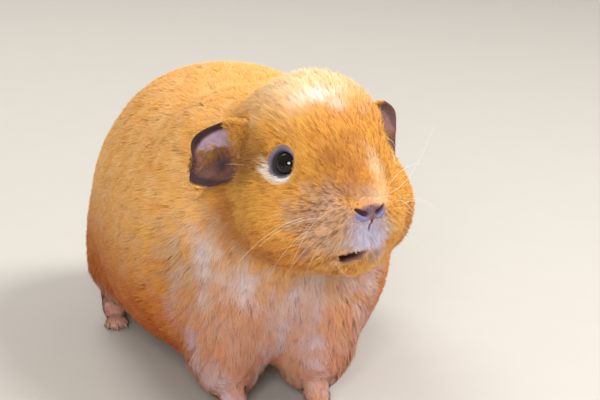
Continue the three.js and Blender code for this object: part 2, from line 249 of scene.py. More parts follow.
class FaceSizes(bpy.types.PropertyGroup):
    """The lids, nostrils and lips."""

    lid_opening: size_property("Lid opening", "Radius of the gap between the lids", 4.3)
    lid_thickness: size_property("Lid thickness", "How far the lid's edge stands over the eyeball", 0.45)
    lid_width: size_property("Lid width", "Width of the bare edge of the lids", 1.25)
    lid_reach: size_property("Lid reach", "Where the lids' swelling ends, from the eye's axis", 9.0)
    nostril_width: size_property("Nostril width", "Width of a nostril's slit", 1.7)
    nostril_depth: size_property("Nostril depth", "Depth of a nostril", 2.0)
    groove_depth: size_property("Lip groove", "Depth of the groove from nose to mouth", 1.0)
    mouth_width: size_property("Mouth width", "From corner to corner of the open mouth", 9.6)
    mouth_gap: size_property("Mouth gap", "How far the lips part in the middle", 6.0)
    mouth_depth: size_property("Mouth depth", "How deep the open mouth is", 6.0)


class EarSizes(bpy.types.PropertyGroup):
    """A thin cupped petal that droops."""

    reach: size_property("Reach", "From the ear's root out to its rim", 15.5)
    height: size_property("Height", "From the ear's top to its lower tip", 23.0)
    thickness: size_property("Thickness", "Thickness at the middle", 1.9)
    cup: size_property("Cup", "How far the rim stands forward of the middle", 4.0)
    fold: size_property("Lobe fold", "How far the lower lobe folds forward", 3.0)
    corner: FloatProperty(name="Corner", description="Power of the rim's curve: 2 is round", default=3.2)
    lobe_reach: size_property("Lobe reach", "How far the lower lobe's tip stands out", 6.0)
    lobe_drop: size_property("Lobe drop", "How far the lower lobe's tip hangs", 2.5)


class CoatSizes(bpy.types.PropertyGroup):
    """How dense, long and tidy the hair is."""

    body_density: FloatProperty(name="Body density", description="Hairs on each mm2 of body", default=4.5)
    face_density: FloatProperty(name="Face density", description="Hairs on each mm2 of face", default=10.0)
    body_width: size_property("Body hair width", "Width of a hair on the body", 0.30)
    face_width: size_property("Face hair width", "Width of a hair on the face", 0.17)
    ear_density: FloatProperty(name="Ear density", description="Hairs on each mm2 of the ears", default=9.0)
    ear_width: size_property("Ear hair width", "Width of a hair in the ears", 0.13)
    slope: FloatProperty(name="Slope", description="Length of a hair for each unit of depth", default=3.1)
    longest: size_property("Longest hair", "Length of the longest hair", 19.0)
    shortest: size_property("Shortest hair", "Length of the hair beside the nose", 1.6)


class Colours(bpy.types.PropertyGroup):
    """The colours, as sRGB hex."""

    # painted shade: the deeper root colour is partly the hair's own base and partly the shade in the clefts
    # between locks
    root: colour_property("Root", "Hair near the skin, in the clefts", "#C67F33")
    ginger: colour_property("Ginger", "The middle of each hair", "#E9A138")
    # painted light: the paler tip colour partly stands for the sunlight on the tips of the coat
    tip: colour_property("Tip", "The sunlit ends of the hair", "#F6BD66")
    # painted shade: on the low flanks and under the jaw this deeper ginger also stands for shade, over the
    # coat's own deeper ginger
    deep: colour_property("Deep ginger", "The jaw, forehead and low flanks", "#BC5E12")
    tan: colour_property("Tan", "The chest, legs and sides of the muzzle", "#CBA08A")
    # painted shade: brown is also laid behind the right cheek and on the right shoulder as shade
    brown: colour_property("Brown", "Between eye and ear, and the dark streaks of the muzzle", "#85552F")
    lavender: colour_property("Lavender", "The lips, and some locks of chest and collar", "#C3C0DF")
    beige: colour_property("Beige", "The sides of the muzzle", "#E2BCA4")
    cream: colour_property("Cream", "The crown, blaze and collar", "#FBDCAB")
    white: colour_property("White", "The patch on the crown, and under the eyes", "#FFFAF2")
    flesh: colour_property("Flesh", "Bare skin of the feet", "#C99E92")
    ear: colour_property("Ear", "Thin skin of the ears", "#8E6152")
    # the canal's dark is painted shade in its recess, and the rim's dark is the ear's own
    ear_rim: colour_property("Ear rim", "Rim and canal of the ear", "#41282A")
    # painted light: the ear's mauve skin painted paler where the upper hollow is lit
    lit_ear_hollow: colour_property("Ear hollow", "Skin in the ear's upper hollow", "#A58C9C")
    nose: colour_property("Nose", "Skin of the nose and lips", "#71505A")
    pad: colour_property("Nose pad", "Bare skin under the nostrils", "#7A779F")
    lid: colour_property("Lid", "Bare skin of the lids", "#7E7383")
    lid_edge: colour_property("Lid edge", "Dark wet edge of the lids", "#2E282E")
    # painted shade: this colour is also laid in the nostrils and along the lip's groove
    mouth: colour_property("Mouth", "Inside the mouth", "#451F28")
    eye: colour_property("Eye", "Black brown of the eye", "#0B0708")
    claw: colour_property("Claw", "Translucent horn", "#8B7466")
    whisker: colour_property("Whisker", "Pale stiff hair", "#F8ECDC")
    iris: colour_property("Iris", "Brown fibres in the eye", "#1E1210")
    claw_streak: colour_property("Claw streak", "Paler streaks along a claw", "#C9B49E")
    whisker_root: colour_property("Whisker root", "Root of a whisker", "#8A6A50")
    floor: colour_property("Floor", "Matt pale floor", "#CBC6BE")
    studio: colour_property("Studio", "Light from all round", "#F0EEEA")


MARKS = {  # the attributes that carry the markings, and the colour of each of their channels
    "marks": ("deep", "tan", "beige", "brown"),
    "pale_marks": ("lavender", "cream", "white"),
}
BROWN = MARKS["marks"].index("brown")


class StageSizes(bpy.types.PropertyGroup):
    """The camera and the lamps."""

    azimuth: FloatProperty(name="Azimuth", description="Degrees round from the front", default=-14.0)
    elevation: FloatProperty(name="Elevation", description="Degrees above the floor", default=15.0)
    distance: size_property("Distance", "From the camera to what it looks at", 720.0)
    lens: FloatProperty(name="Lens", description="Focal length in mm", default=111.0)
    key_power: FloatProperty(name="Key light", description="Watts of the main lamp", default=17.0)
    fill_power: FloatProperty(name="Fill light", description="Watts of the fill lamp", default=14.0)
    rim_power: FloatProperty(name="Rim light", description="Watts of the lamp behind", default=10.0)
    surround: FloatProperty(name="Surround", description="Strength of the light from all round", default=0.5)
    shift_x: FloatProperty(name="Shift right", description="In widths of the frame", default=-0.0383333)
    shift_y: FloatProperty(name="Shift up", description="In widths of the frame", default=-0.0166667)
    floor_radius: size_property("Floor", "Radius of the flat floor", 1500.0)
    cove_radius: size_property("Cove", "Radius of the curve from floor to wall", 900.0)


SETTINGS = {
    "guinea_skin": SkinSizes,
    "guinea_face": FaceSizes,
    "guinea_ear": EarSizes,
    "guinea_coat": CoatSizes,
    "guinea_colours": Colours,
    "guinea_stage": StageSizes,
}


def linear(hex_colour):
    """An sRGB hex colour as linear red, green, blue and alpha."""
    parts = [int(hex_colour[i : i + 2], 16) / 255 for i in (1, 3, 5)]
    return [p / 12.92 if p <= 0.04045 else ((p + 0.055) / 1.055) ** 2.4 for p in parts] + [1.0]


# ---------------------------------------------------------------- the body's regions
NOSE = in_face(np.array([middle("nose")]))[0]
FEET = [f"{pair}foot_{side}" for pair in ("fore", "hind") for side in SIDES]
LEGS = [f"{pair}leg_{side}" for pair in ("fore", "hind") for side in SIDES]
TRUNK_LOW, TRUNK_HIGH = (np.array(corner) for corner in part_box("trunk"))
TRUNK_MIDDLE = (TRUNK_LOW + TRUNK_HIGH) / 2
HEAD_MIDDLE = (0, -11, -9)  # in the face's frame
UNDER_CHIN = ((0, 0, -50), (24, 34, 20))


def head_share(points):
    """1 on the head and 0 on the trunk."""
    return 1 - ramp(lengths(in_face(points) - HEAD_MIDDLE), 36, 52)


def leg_share(points):
    """1 on the lower legs and feet."""
    share = np.zeros(len(points))
    for foot in FEET:
        low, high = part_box(foot)
        centre = np.array((low + high) / 2)
        reach = (high.y - low.y) / 2
        flat = lengths((points - centre)[:, :2] * (1, 0.8))
        share = np.maximum(share, 1 - ramp(flat, reach + 2 * MM, reach + 12 * MM))
    return share * (1 - ramp(points[:, 2], 22 * MM, 50 * MM))


def chest_share(points):
    """1 on the chest and throat, where the coat hangs in separate locks."""
    front = 1 - ramp(points[:, 1], -62 * MM, -38 * MM)
    low = 1 - ramp(points[:, 2], 66 * MM, 92 * MM)
    return front * low * (1 - head_share(points))


def crest_share(points):
    """1 along the top of the back, where the coat stands proudest."""
    return ramp(points[:, 2], 92 * MM, 122 * MM) * (1 - head_share(points))


def neck_share(points):
    """1 round the neck, but not under the chin."""
    place = in_face(points)
    away = lengths(place - HEAD_MIDDLE)
    under_chin = blob(place, *UNDER_CHIN, 0.4)
    return ramp(away, 26, 36) * (1 - ramp(away, 58, 74)) * (1 - under_chin)


def foot_share(points):
    """1 on the bare feet."""
    share = np.zeros(len(points))
    for foot in FEET:
        low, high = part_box(foot)
        centre, half = np.array((low + high) / 2), np.array((high - low) / 2)
        share = np.maximum(share, blob(points, centre, half * 1.25, 0.2))
    return share


def coat_depth(points):
    """How deep the coat is over the skin."""
    skin = bpy.context.scene.guinea_skin
    forward = in_face(points)[:, 1]
    head = np.interp(
        forward,
        (-28, 0, 14, 27),
        (skin.cheek_depth, skin.eye_depth, skin.eye_depth * 0.7, skin.muzzle_depth),
    )
    leg = np.interp(
        points[:, 2] / MM, (5, 14, 32, 52), (skin.foot_depth, 1.2 * MM, 3 * MM, skin.trunk_depth)
    )
    legs = leg_share(points)
    body = leg * legs + skin.trunk_depth * (1 - legs)
    share = head_share(points)
    return head * share + body * (1 - share)


# ---------------------------------------------------------------- markings
# centre and radii of each marking in the face's frame
WHITE_PATCHES = (((2.5, 4.5, 22), (6.5, 4, 4)), ((-7.5, -1.5, 23.3), (11, 4.5, 4.5)))
PALE_CROWN = ((-2, -16, 25), (23, 20, 12))
BLAZES = (((5.6, 24, -2), (3, 6, 8)), ((6.6, 27, -8), (3.5, 5, 5)))
LIPS = ((-1.0, 30, -22.5), (5.8, 7, 7))
SIDES_OF_MUZZLE = (
    ((-12, 22, -21), (12, 12, 10)),
    ((4, 27, -19), (3.5, 6, 6)),
    ((-11, 20, -12), (8, 8, 6)),
)
OVER_NOSE = ((0, 27, -9.5), (6, 6, 3))
TEMPLES = ((30, -18, 2), (9, 12, 11))
COLLAR = (  # pale hair from behind the cheek to under the chin
    ((-38, -38, -41), (7, 12, 8)),
    ((-29, -33, -52), (8, 12, 6)),
    ((-14, -28, -61), (11, 12, 5)),
    ((28, -33, -73), (8, 12, 12)),
)
# painted shade behind the right cheek, where the head shades the neck: deeper ginger and brown, on the right
# side only
PAINTED_NECK_SHADE = ((-30, -30, -30), (9, 14, 14))
# painted shade on the right shoulder under the head: brown, on the right side only
SHOULDER = ((-48, -49, -47), (10, 16, 14))
FOREHEAD = ((0, 9, 16), (15, 12, 10))
BRIDGE = ((-2, 22, -2), (11, 9, 12))
# deeper ginger on the lower jaw: partly painted shade under the head
JAW = ((20, -6, -36), (22, 22, 12))
WHISKER_SPOT = 0.6  # radius in mm of the dark spot at a whisker's root
WHISKER_ROWS = 4
WHISKER_COLUMNS = 4
WHISKER_FIRST = np.array((11.5, 22, -15))
WHISKER_STEP = (np.array((-0.6, -0.2, -3.1)), np.array((2.3, -2.6, -0.9)))  # to the next row, and column


def whisker_roots():
    """The places of the whiskers' roots on the left side of the muzzle."""
    down, back = WHISKER_STEP
    pairs = itertools.product(range(WHISKER_ROWS), range(WHISKER_COLUMNS))
    return [WHISKER_FIRST + down * row + back * column for row, column in pairs]


def under_eye(place):
    """1 in the pale crescent behind and below each eye."""
    share = np.zeros(len(place))
    for side in SIDES:
        away = place - in_face(np.array([EYES[side]]))
        reach = lengths(away)
        behind = np.maximum(0, -away[:, 1] / reach)
        low = ramp(-away[:, 2] / reach, -0.3, 0.3)
        share = np.maximum(share, low * (1 - ramp(reach, 7.4 + 1.4 * behind, 9.0 + 2.6 * behind)))
    return share


def muzzle_share(place):
    """1 on the sides of the muzzle, whose hair is beige with dark streaks."""
    return blobs(place, SIDES_OF_MUZZLE, 0.9)


def marks(points):
    """The share of each marking at each point, in the order of MARKS."""
    place = in_face(points)
    mirrored = place * np.where(place[:, :1] < 0, (-1, 1, 1), (1, 1, 1))
    height = points[:, 2]
    body = 1 - head_share(points)
    chest = chest_share(points)
    feet = leg_share(points) * body * (1 - ramp(height, 16 * MM, 40 * MM))
    # deeper ginger towards the bottom of the body: painted shade from under the body, over the low flanks' own
    # deeper ginger
    low_shade = (1 - ramp(height, 25 * MM, 92 * MM)) * body
    flank = ramp(height, 40 * MM, 80 * MM) * (1 - ramp(height, 100 * MM, 140 * MM)) * body
    locks = ramp(wander(points * (1, 1, 0.35), 7 * MM, 13), -0.2, 0.5)
    muzzle = muzzle_share(place) * (0.8 + 0.35 * wander(points, 3 * MM, 14))
    collar = blobs(place, COLLAR, 0.95) * (0.4 + 0.6 * locks)
    crown, blaze = blob(place, *PALE_CROWN, 0.8), blobs(place, BLAZES, 0.95)
    bridge, over_nose = blob(place, *BRIDGE, 0.8), blob(place, *OVER_NOSE, 0.8)
    painted_neck_shade = blob(place, *PAINTED_NECK_SHADE, 0.7)
    near_eye = under_eye(place) * (1 - 0.6 * ramp(place[:, 0], 0, 4))
    forehead, jaw = blob(place, *FOREHEAD, 0.8), blob(mirrored, *JAW, 0.8)
    temples, shoulder = blob(mirrored, *TEMPLES, 0.7), blob(place, *SHOULDER, 0.8)
    in_ears = ear_share(points) ** 3 * tuft_share(points)
    layers = {
        # jaw and low_shade here are painted shade, laid over the coat's own deeper ginger
        "deep": (0.3 * forehead, 0.45 * bridge, 0.65 * jaw, low_shade, 0.6 * painted_neck_shade),
        "tan": (chest * (0.65 + 0.3 * locks), 0.75 * feet, 0.25 * muzzle),
        # painted_neck_shade here and in the deep layer, and shoulder, are painted shade behind the right cheek
        "brown": (
            0.15 * muzzle, 0.3 * over_nose, 0.3 * bridge, 0.85 * temples, 0.3 * painted_neck_shade, 0.4 * shoulder
        ),
        "lavender": (0.95 * blob(place, *LIPS, 0.7), 0.2 * chest * locks, 0.8 * collar),
        "beige": (0.95 * muzzle, 0.5 * over_nose),
        "cream": (0.9 * crown, 0.4 * collar, 0.6 * blaze, 0.22 * flank),
        "white": (blobs(place, WHITE_PATCHES, 0.6), 0.85 * near_eye),
    }
    found = {name: np.max(shares, axis=0) for name, shares in layers.items()}
    for root in whisker_roots():
        spot = np.exp(-((lengths(mirrored - root) / WHISKER_SPOT) ** 2))
        found["brown"] = np.maximum(found["brown"], 0.9 * spot)
    shares = np.stack([found[name] for names in MARKS.values() for name in names], axis=1)
    rough = wander(points, 5 * MM, 11) * 0.2 + wander(points, 2 * MM, 12) * 0.12
    shares[:, BROWN] = np.maximum(shares[:, BROWN], 0.95 * in_ears)
    return np.clip(shares + rough[:, None] * (shares > 0.03) * (shares < 0.97), 0, 1)


def add_marks(mesh, shares):
    """Stores the markings in the attributes that the materials read."""
    start = 0
    for name, parts in MARKS.items():
        add_attribute(mesh, name, shares[:, start : start + len(parts)])
        start += len(parts)


# ---------------------------------------------------------------- skin
ABOUT_MOUTH = ((-4, 22, -31), (10, 12, 4.5))  # where the skin isn't drawn in
TOP_OF_HEAD = ((-6, -14, 28), (28, 24, 12))
LOW_CROWN = 1.4 * MM  # how much lower the skin lies on top of the head
LID_FOLD = 0.35 * MM  # depth of the crease over the upper lid
NECK_ROUNDS = 400  # rounds of smoothing that take the crease between cheek and shoulder out


def rough_body(grain):
    """The trunk, neck, head, jaw and legs melted into one closed shape."""
    whole = bmesh.new()
    for node in ("trunk", "neck", "head", "lower_jaw", *LEGS, "eye_right", "eye_left"):
        join_into(whole, node_shape(node, 0.25 * MM))
    body = new_piece("skin", whole)
    apply_modifier(body, "REMESH", mode="VOXEL", voxel_size=grain)
    apply_modifier(body, "SMOOTH", factor=0.5, iterations=14)
    return body


def fill_neck(body):
    """Fills the crease between cheek and shoulder, as the coat does."""
    points, normals = places(body.data), outward(body.data)
    apply_modifier(body, "SMOOTH", factor=0.5, iterations=NECK_ROUNDS)
    rise = np.einsum("ij,ij->i", places(body.data) - points, normals)
    rise = np.maximum(rise, 0) * neck_share(points)
    move_vertices(body.data, points + normals * rise[:, None])


def draw_in(body):
    """Moves the skin in from the tips of the coat."""
    sizes = bpy.context.scene.guinea_skin
    points, normals = places(body.data), outward(body.data)
    place = in_face(points)
    depth = coat_depth(points) * (1 - blob(place, *ABOUT_MOUTH, 0.3)) - sizes.crest * crest_share(points)
    depth += LOW_CROWN * blob(place, *TOP_OF_HEAD, 0.6)
    move_vertices(body.data, points - normals * depth[:, None])


def add_feet_and_nose(body, grain):
    """Joins the feet and the nose, which keep their own shape, to the drawn-in body."""
    whole = bmesh.new()
    whole.from_mesh(body.data)
    for foot in FEET:
        join_into(whole, node_shape(foot, -0.2 * MM))
    join_into(whole, node_shape("nose"))
    whole.to_mesh(body.data)
    whole.free()
    apply_modifier(body, "REMESH", mode="VOXEL", voxel_size=grain)
    apply_modifier(body, "SMOOTH", factor=0.5, iterations=4)


def split_finely(body, near):
    """Splits the faces that near() picks by their middles, so that they can hold small forms."""
    shape = bmesh.new()
    shape.from_mesh(body.data)
    picked = near(np.array([face.calc_center_median() for face in shape.faces]))
    shape.faces.ensure_lookup_table()
    edges = {edge for index in np.flatnonzero(picked) for edge in shape.faces[index].edges}
    bmesh.ops.subdivide_edges(shape, edges=list(edges), cuts=1, use_grid_fill=True, smooth=0.6)
    bmesh.ops.triangulate(shape, faces=[face for face in shape.faces if len(face.verts) > 4])
    shape.to_mesh(body.data)
    shape.free()


def near_features(points):
    """The lids, nose and mouth, which are shaped finely."""
    near = lengths(in_face(points) - NOSE) < 13
    near |= lengths(in_face(points) - (-3, 24, -31)) < 13
    for eye in EYES.values():
        near |= lengths(points - np.array(eye)) < 10 * MM
    return near


def near_lids(points):
    """The edges of the lids and the nostrils, which are shaped finest."""
    near = lengths(in_face(points) - NOSE) < 8.5
    near |= lengths((in_face(points) - (-5, 25, -32)) / (8.5, 8, 4)) < 1
    near |= groove_away(in_face(points)) < 1.8
    for eye in EYES.values():
        near |= lengths(points - np.array(eye)) < 7.5 * MM
    return near


def eye_frame(side, points, normals):
    """The eye's axis, from the skin round it, with the directions to its front and its top."""
    away = lengths(points - np.array(EYEBALLS[side]))
    ring = (away > 7 * MM) & (away < 10.5 * MM)
    ring &= np.einsum("ij,j->i", normals, np.array(LEFT) * SIDES[side]) > 0.2
    axis = Vector(normals[ring].mean(axis=0)).normalized()
    front = (FORWARD - axis * FORWARD.dot(axis)).normalized()
    return np.array(axis), np.array(front), np.array(axis.cross(front) * -SIDES[side])


def shape_lids(points, normals, side):
    """Opens the skin over one eyeball and raises the lids round it."""
    sizes = bpy.context.scene.guinea_face
    axis, front, top = eye_frame(side, points, normals)
    from_eye = points - np.array(EYEBALLS[side])
    height = from_eye @ axis
    x, y = from_eye @ front, from_eye @ top
    radius = np.hypot(x, y)
    angle = np.arctan2(y, x)
    touched = (radius < sizes.lid_reach + 2 * MM) & (height > -1 * MM) & (height < 9 * MM)
    ring = touched & (radius > sizes.lid_reach - 1 * MM)
    terms = np.stack([np.ones_like(x), x, y, x * x, x * y, y * y], axis=1)
    fit = np.linalg.lstsq(terms[ring], height[ring], rcond=None)[0]
    around = terms @ fit  # the skin as it would lie with no eye under it
    corner = np.maximum(0, np.cos(angle + 0.45)) ** 10  # the pointed front corner, set a little low
    opening = sizes.lid_opening * (1 + 0.17 * corner - 0.05 * np.abs(np.sin(angle)) ** 3)
    rim = np.sqrt(np.maximum(EYE_RADIUS**2 - opening**2, 0)) + sizes.lid_thickness
    out = np.maximum(radius - opening, 0)
    fall = np.exp(-((out / (0.36 * sizes.lid_reach)) ** 2))
    fold = LID_FOLD * np.exp(-(((out - 2.3 * MM) / (0.5 * MM)) ** 2)) * ramp(np.sin(angle), -0.2, 0.7)
    edge = 0.2 * MM * np.exp(-((out / (0.25 * MM)) ** 2))  # rounds the rim
    lid = around + (np.maximum(rim, around) - around) * fall - fold - edge
    inside = np.sqrt(np.maximum(EYE_RADIUS**2 - radius**2, 0)) - 1.1 * MM
    target = np.where(radius < opening, inside, lid)
    weight = touched * (1 - ramp(radius, sizes.lid_reach - 1.5 * MM, sizes.lid_reach + 1 * MM))
    return points + axis * ((target - height) * weight)[:, None]


NOSTRIL = [(2.6, -0.7), (3.5, -0.3), (4.5, 0.4), (5.7, 1.3)]  # from the middle, then up
LIP_GROOVE = [(0, -3.2), (-0.4, -7), (-1.6, -14.5)]  # from the nose to the mouth
MOUTH_MIDDLE = (-6.1, 26.0, -30.2)  # the middle of the upper lip's edge, a little to the right


def groove_away(place):
    """How many millimetres each point of the face lies from the lip's groove."""
    away, _ = nearest_on_line(place[:, 0] - NOSE[0], place[:, 2] - NOSE[2], LIP_GROOVE)
    return np.where(place[:, 1] > 20, away, 9)


def inside_mouth(place):
    """How many millimetres each point of the face lies inside the gap between the lips."""
    sizes = bpy.context.scene.guinea_face
    share = (place[:, 0] - MOUTH_MIDDLE[0]) / (sizes.mouth_width / MM / 2)
    top = MOUTH_MIDDLE[2] + 0.7 * share - 0.9 * share**2
    bottom = top - sizes.mouth_gap / MM * (1 - share**2)
    across = (1 - np.abs(share)) * sizes.mouth_width / MM / 2
    gap = np.minimum(np.minimum(top - place[:, 2], place[:, 2] - bottom), across)
    return np.where(place[:, 1] > MOUTH_MIDDLE[1] - 12, gap, -9)


def shape_mouth(points):
    """Opens the mouth and rolls the lips out a little round it."""
    sizes = bpy.context.scene.guinea_face
    place = in_face(points)
    inside = inside_mouth(place)
    lip = 0.45 * np.exp(-(((inside + 0.7) / 0.7) ** 2)) * (inside < 0.1)
    press = ramp(inside, -0.1, 0.7) * sizes.mouth_depth / MM
    near = ramp(place[:, 1], MOUTH_MIDDLE[1] - 10, MOUTH_MIDDLE[1] - 7)
    return points + np.array(FORWARD) * ((lip - press) * near * MM)[:, None]


def nearest_on_line(x, y, line):
    """How far each point is from a line of a few points, and how far along the line that is."""
    best = np.full(len(x), 1e9)
    along = np.zeros(len(x))
    pieces = len(line) - 1
    for number, (start, end) in enumerate(zip(line, line[1:])):
        step = np.subtract(end, start)
        part = np.clip(((x - start[0]) * step[0] + (y - start[1]) * step[1]) / (step @ step), 0, 1)
        away = np.hypot(x - start[0] - part * step[0], y - start[1] - part * step[1])
        along = np.where(away < best, (number + part) / pieces, along)
        best = np.minimum(best, away)
    return best, along


def nostril_share(place):
    """1 in the nostrils, which are painted dark as painted shade."""
    sizes = bpy.context.scene.guinea_face
    away, along = nearest_on_line(np.abs(place[:, 0] - NOSE[0]), place[:, 2] - NOSE[2], NOSTRIL)
    half = sizes.nostril_width / MM / 2 * (1.25 - 0.6 * along)
    return (1 - ramp(away, half * 0.5, half * 1.1)) * ramp(place[:, 1], NOSE[1] - 9, NOSE[1] - 6)


def shape_nose(points):
    """Presses the nostrils and the lip's groove in, and swells the wings round the nostrils."""
    sizes = bpy.context.scene.guinea_face
    place = in_face(points)
    side, up = place[:, 0] - NOSE[0], place[:, 2] - NOSE[2]
    front = ramp(place[:, 1], NOSE[1] - 7, NOSE[1] - 4)
    away, along = nearest_on_line(np.abs(side), up, NOSTRIL)
    half = sizes.nostril_width / MM / 2 * (1.25 - 0.6 * along)
    slit = 1 - ramp(away, half * 0.35, half * 1.4)
    wing = np.exp(-(((away - half * 2.2) / 0.9) ** 2)) * ramp(up, -3.5, -1)
    groove = groove_away(place)
    split = np.exp(-((groove / 0.6) ** 2)) * ramp(-up, 2.2, 3.6)
    middle_dip = 0.35 * np.exp(-((side / 0.9) ** 2)) * blob(place, NOSE, (8, 8, 4), 0.3)
    pads = 0.55 * np.exp(-(((groove - 3.2) / 2.2) ** 2)) * ramp(-up, 4, 7) * (1 - ramp(-up, 12, 15))
    lift = 0.45 * wing + pads - middle_dip
    lift -= slit * sizes.nostril_depth / MM + split * sizes.groove_depth / MM
    near = front * (1 - ramp(np.hypot(side, up + 6), 12, 15))
    return points + np.array(FORWARD) * (lift * near * MM)[:, None]


# centre, radii and height in mm of each soft rise or hollow on the left side of the face
RELIEF = (
    ((16, 9.5, 3), (5, 3.5, 7), 1.4),  # the brow, which hides each eye from the other side
    ((13, 21, -22), (8, 7, 8), 1.5),  # the whisker pad
    ((17, 14, -8), (5, 6, 4), -1.2),  # the hollow from the eye to the nostril
    ((10, 22, -9), (3.5, 5, 4), -0.9),  # the hollow beside the nose
    ((20, 4, -36), (10, 10, 6), 0.8),  # the jaw's corner
)


def shape_cheeks(points):
    """Adds the brow, the whisker pad and the hollows beside the bridge."""
    place = in_face(points)
    for sign in SIDES.values():
        way = np.array(LEFT * sign + FORWARD * 0.5)
        for centre, radii, height in RELIEF:
            share = blob(place * (sign, 1, 1), centre, radii, 0.8)
            points = points + way * (height * MM * share)[:, None]
    return points


EAR_ROOTS = {"right": (-31.0, -27.4, 2.6), "left": (30.6, -28.6, 0.6)}  # in the face's frame
EAR_LIES = {"right": (0.85, 0.5, 0.2), "left": (0.78, 0.54, 0.36)}  # out, back and down
RIM_ROLL = 0.9 * MM  # height of the rolled rim
CANAL_DEPTH = 2.4 * MM  # depth of the canal's opening
EAR_RELIEF = 0.6  # the share of both that the ear keeps


def ear_frames():
    """Each ear's root and the directions out, up and to its hollow side."""
    for side, sign in SIDES.items():
        place = from_face(*EAR_ROOTS[side])
        outwards, back, down = EAR_LIES[side]
        out = (LEFT * (outwards * sign) - FORWARD * back - UP * down).normalized()
        hollow = LEFT * (0.5 * sign) + FORWARD * 0.85 - UP * 0.1
        hollow = (hollow - out * hollow.dot(out)).normalized()
        rise = hollow.cross(out) * sign
        yield side, place, Matrix((out, rise, hollow)).transposed()


def ear_outline(out, rise):
    """Where a point of the unit disc lies on the ear's plane: squarer above, with a long lobe below."""
    sizes = bpy.context.scene.guinea_ear
    lobe = (2 * np.maximum(0, out) * np.maximum(0, -rise)) ** 2
    spread = np.maximum(np.hypot(out, rise), 1e-6)
    power = 2 + (sizes.corner - 2) * (out > 0)
    square = spread / (np.abs(out) ** power + np.abs(rise) ** power + 1e-9) ** (1 / power)
    slant = 1 - 0.2 * np.maximum(0, out) * (rise > 0)  # the upper rim falls away outwards
    return (
        out * sizes.reach * square + lobe * sizes.lobe_reach,
        rise * sizes.height / 2 * square * slant - lobe * sizes.lobe_drop,
    )


def ear_cup(out, rise):
    """How far the ear's middle surface stands forward: cupped, its lobe folded in, its top hooded."""
    sizes = bpy.context.scene.guinea_ear
    bowl = sizes.cup * (np.hypot(out, rise) ** 2 - 0.5)
    return bowl + sizes.fold * np.maximum(0, -rise) ** 2 + 2.0 * MM * np.maximum(0, rise - 0.35) ** 2


CANAL = ((0.3, -0.5), (0.26, 0.32))  # middle and half-widths, in shares of the ear


def canal_share(out, rise):
    """1 in the middle of the ear's canal, fading outwards."""
    (x, y), (half_x, half_y) = CANAL
    return np.exp(-(((out - x) / half_x) ** 2) - ((rise - y) / half_y) ** 2)


def ear_shape(sign, place, axes):
    """One ear as a closed thin petal, with a rolled rim, ridges inside and a canal."""
    sizes = bpy.context.scene.guinea_ear
    petal = bmesh.new()
    bmesh.ops.create_uvsphere(petal, u_segments=72, v_segments=48, radius=1)
    for vertex in petal.verts:
        out, rise, face = vertex.co
        spread = math.hypot(out, rise)
        front = max(0.0, face)
        roll = RIM_ROLL * math.exp(-(((spread - 0.93) / 0.07) ** 2))
        ridge = 0.8 * MM * math.exp(-(((out - 0.1 - 0.5 * rise) / 0.1) ** 2))
        ridge *= 1 - min(1.0, abs(rise) / 0.75) ** 2
        wave = 0.5 * MM * math.sin(5 * rise + 2 * out) * spread
        relief = (ridge - CANAL_DEPTH * canal_share(out, rise) * EAR_RELIEF) * min(1, front * 2)
        x, y = ear_outline(out, rise)
        vertex.co = (x, y, face * sizes.thickness / 2 + ear_cup(out, rise) + wave + roll * EAR_RELIEF + relief)
    petal.transform(Matrix.Translation(place) @ axes.to_4x4())
    if sign < 0:
        bmesh.ops.reverse_faces(petal, faces=petal.faces)
    bmesh.ops.recalc_face_normals(petal, faces=petal.faces)
    return petal


def ear_places(points):
    """Each point's place on each ear: out and up in shares of the disc, and its height in metres."""
    sizes = bpy.context.scene.guinea_ear
    found = []
    for _, place, axes in ear_frames():
        x, y, height = ((points - np.array(place)) @ np.array(axes)).T
        out, rise = x / sizes.reach, y / (sizes.height / 2)
        for _ in range(6):  # solves the outline backwards, as it has no formula that way
            x_now, y_now = ear_outline(out, rise)
            out = out + 0.8 * (x - x_now) / sizes.reach
            rise = rise + 0.8 * (y - y_now) / (sizes.height / 2)
            out, rise = np.clip(out, -9, 9), np.clip(rise, -9, 9)
        found.append((out, rise, height))
    return found


def ear_share(points):
    """1 on the ears' thin skin."""
    share = np.zeros(len(points))
    for out, rise, height in ear_places(points):
        thin = 1 - ramp(np.abs(height - ear_cup(out, rise)), 1.8 * MM, 2.6 * MM)
        inside = 1 - ramp(np.hypot(out, rise), 1.15, 1.3)
        share = np.maximum(share, thin * inside * ramp(out, -0.15, 0.05))
    return share


def tuft_share(points):
    """1 on the middle of each ear's hollow side, where a tuft grows."""
    share = np.zeros(len(points))
    for out, rise, height in ear_places(points):
        middle_part = 1 - ramp(np.hypot((out - 0.45) / 0.8, (rise + 0.25) / 0.5), 0.6, 1.1)
        hollow_side = (np.abs(height) < 9 * MM) * (height > ear_cup(out, rise))
        share = np.maximum(share, middle_part * hollow_side)
    return share


def add_ears(body):
    """Joins the ears to the head."""
    for side, place, axes in ear_frames():
        ear = new_piece(f"ear_{side}_shape", ear_shape(SIDES[side], place, axes))
        apply_modifier(body, "BOOLEAN", operation="UNION", solver="MANIFOLD", object=ear)
        bpy.data.objects.remove(ear)


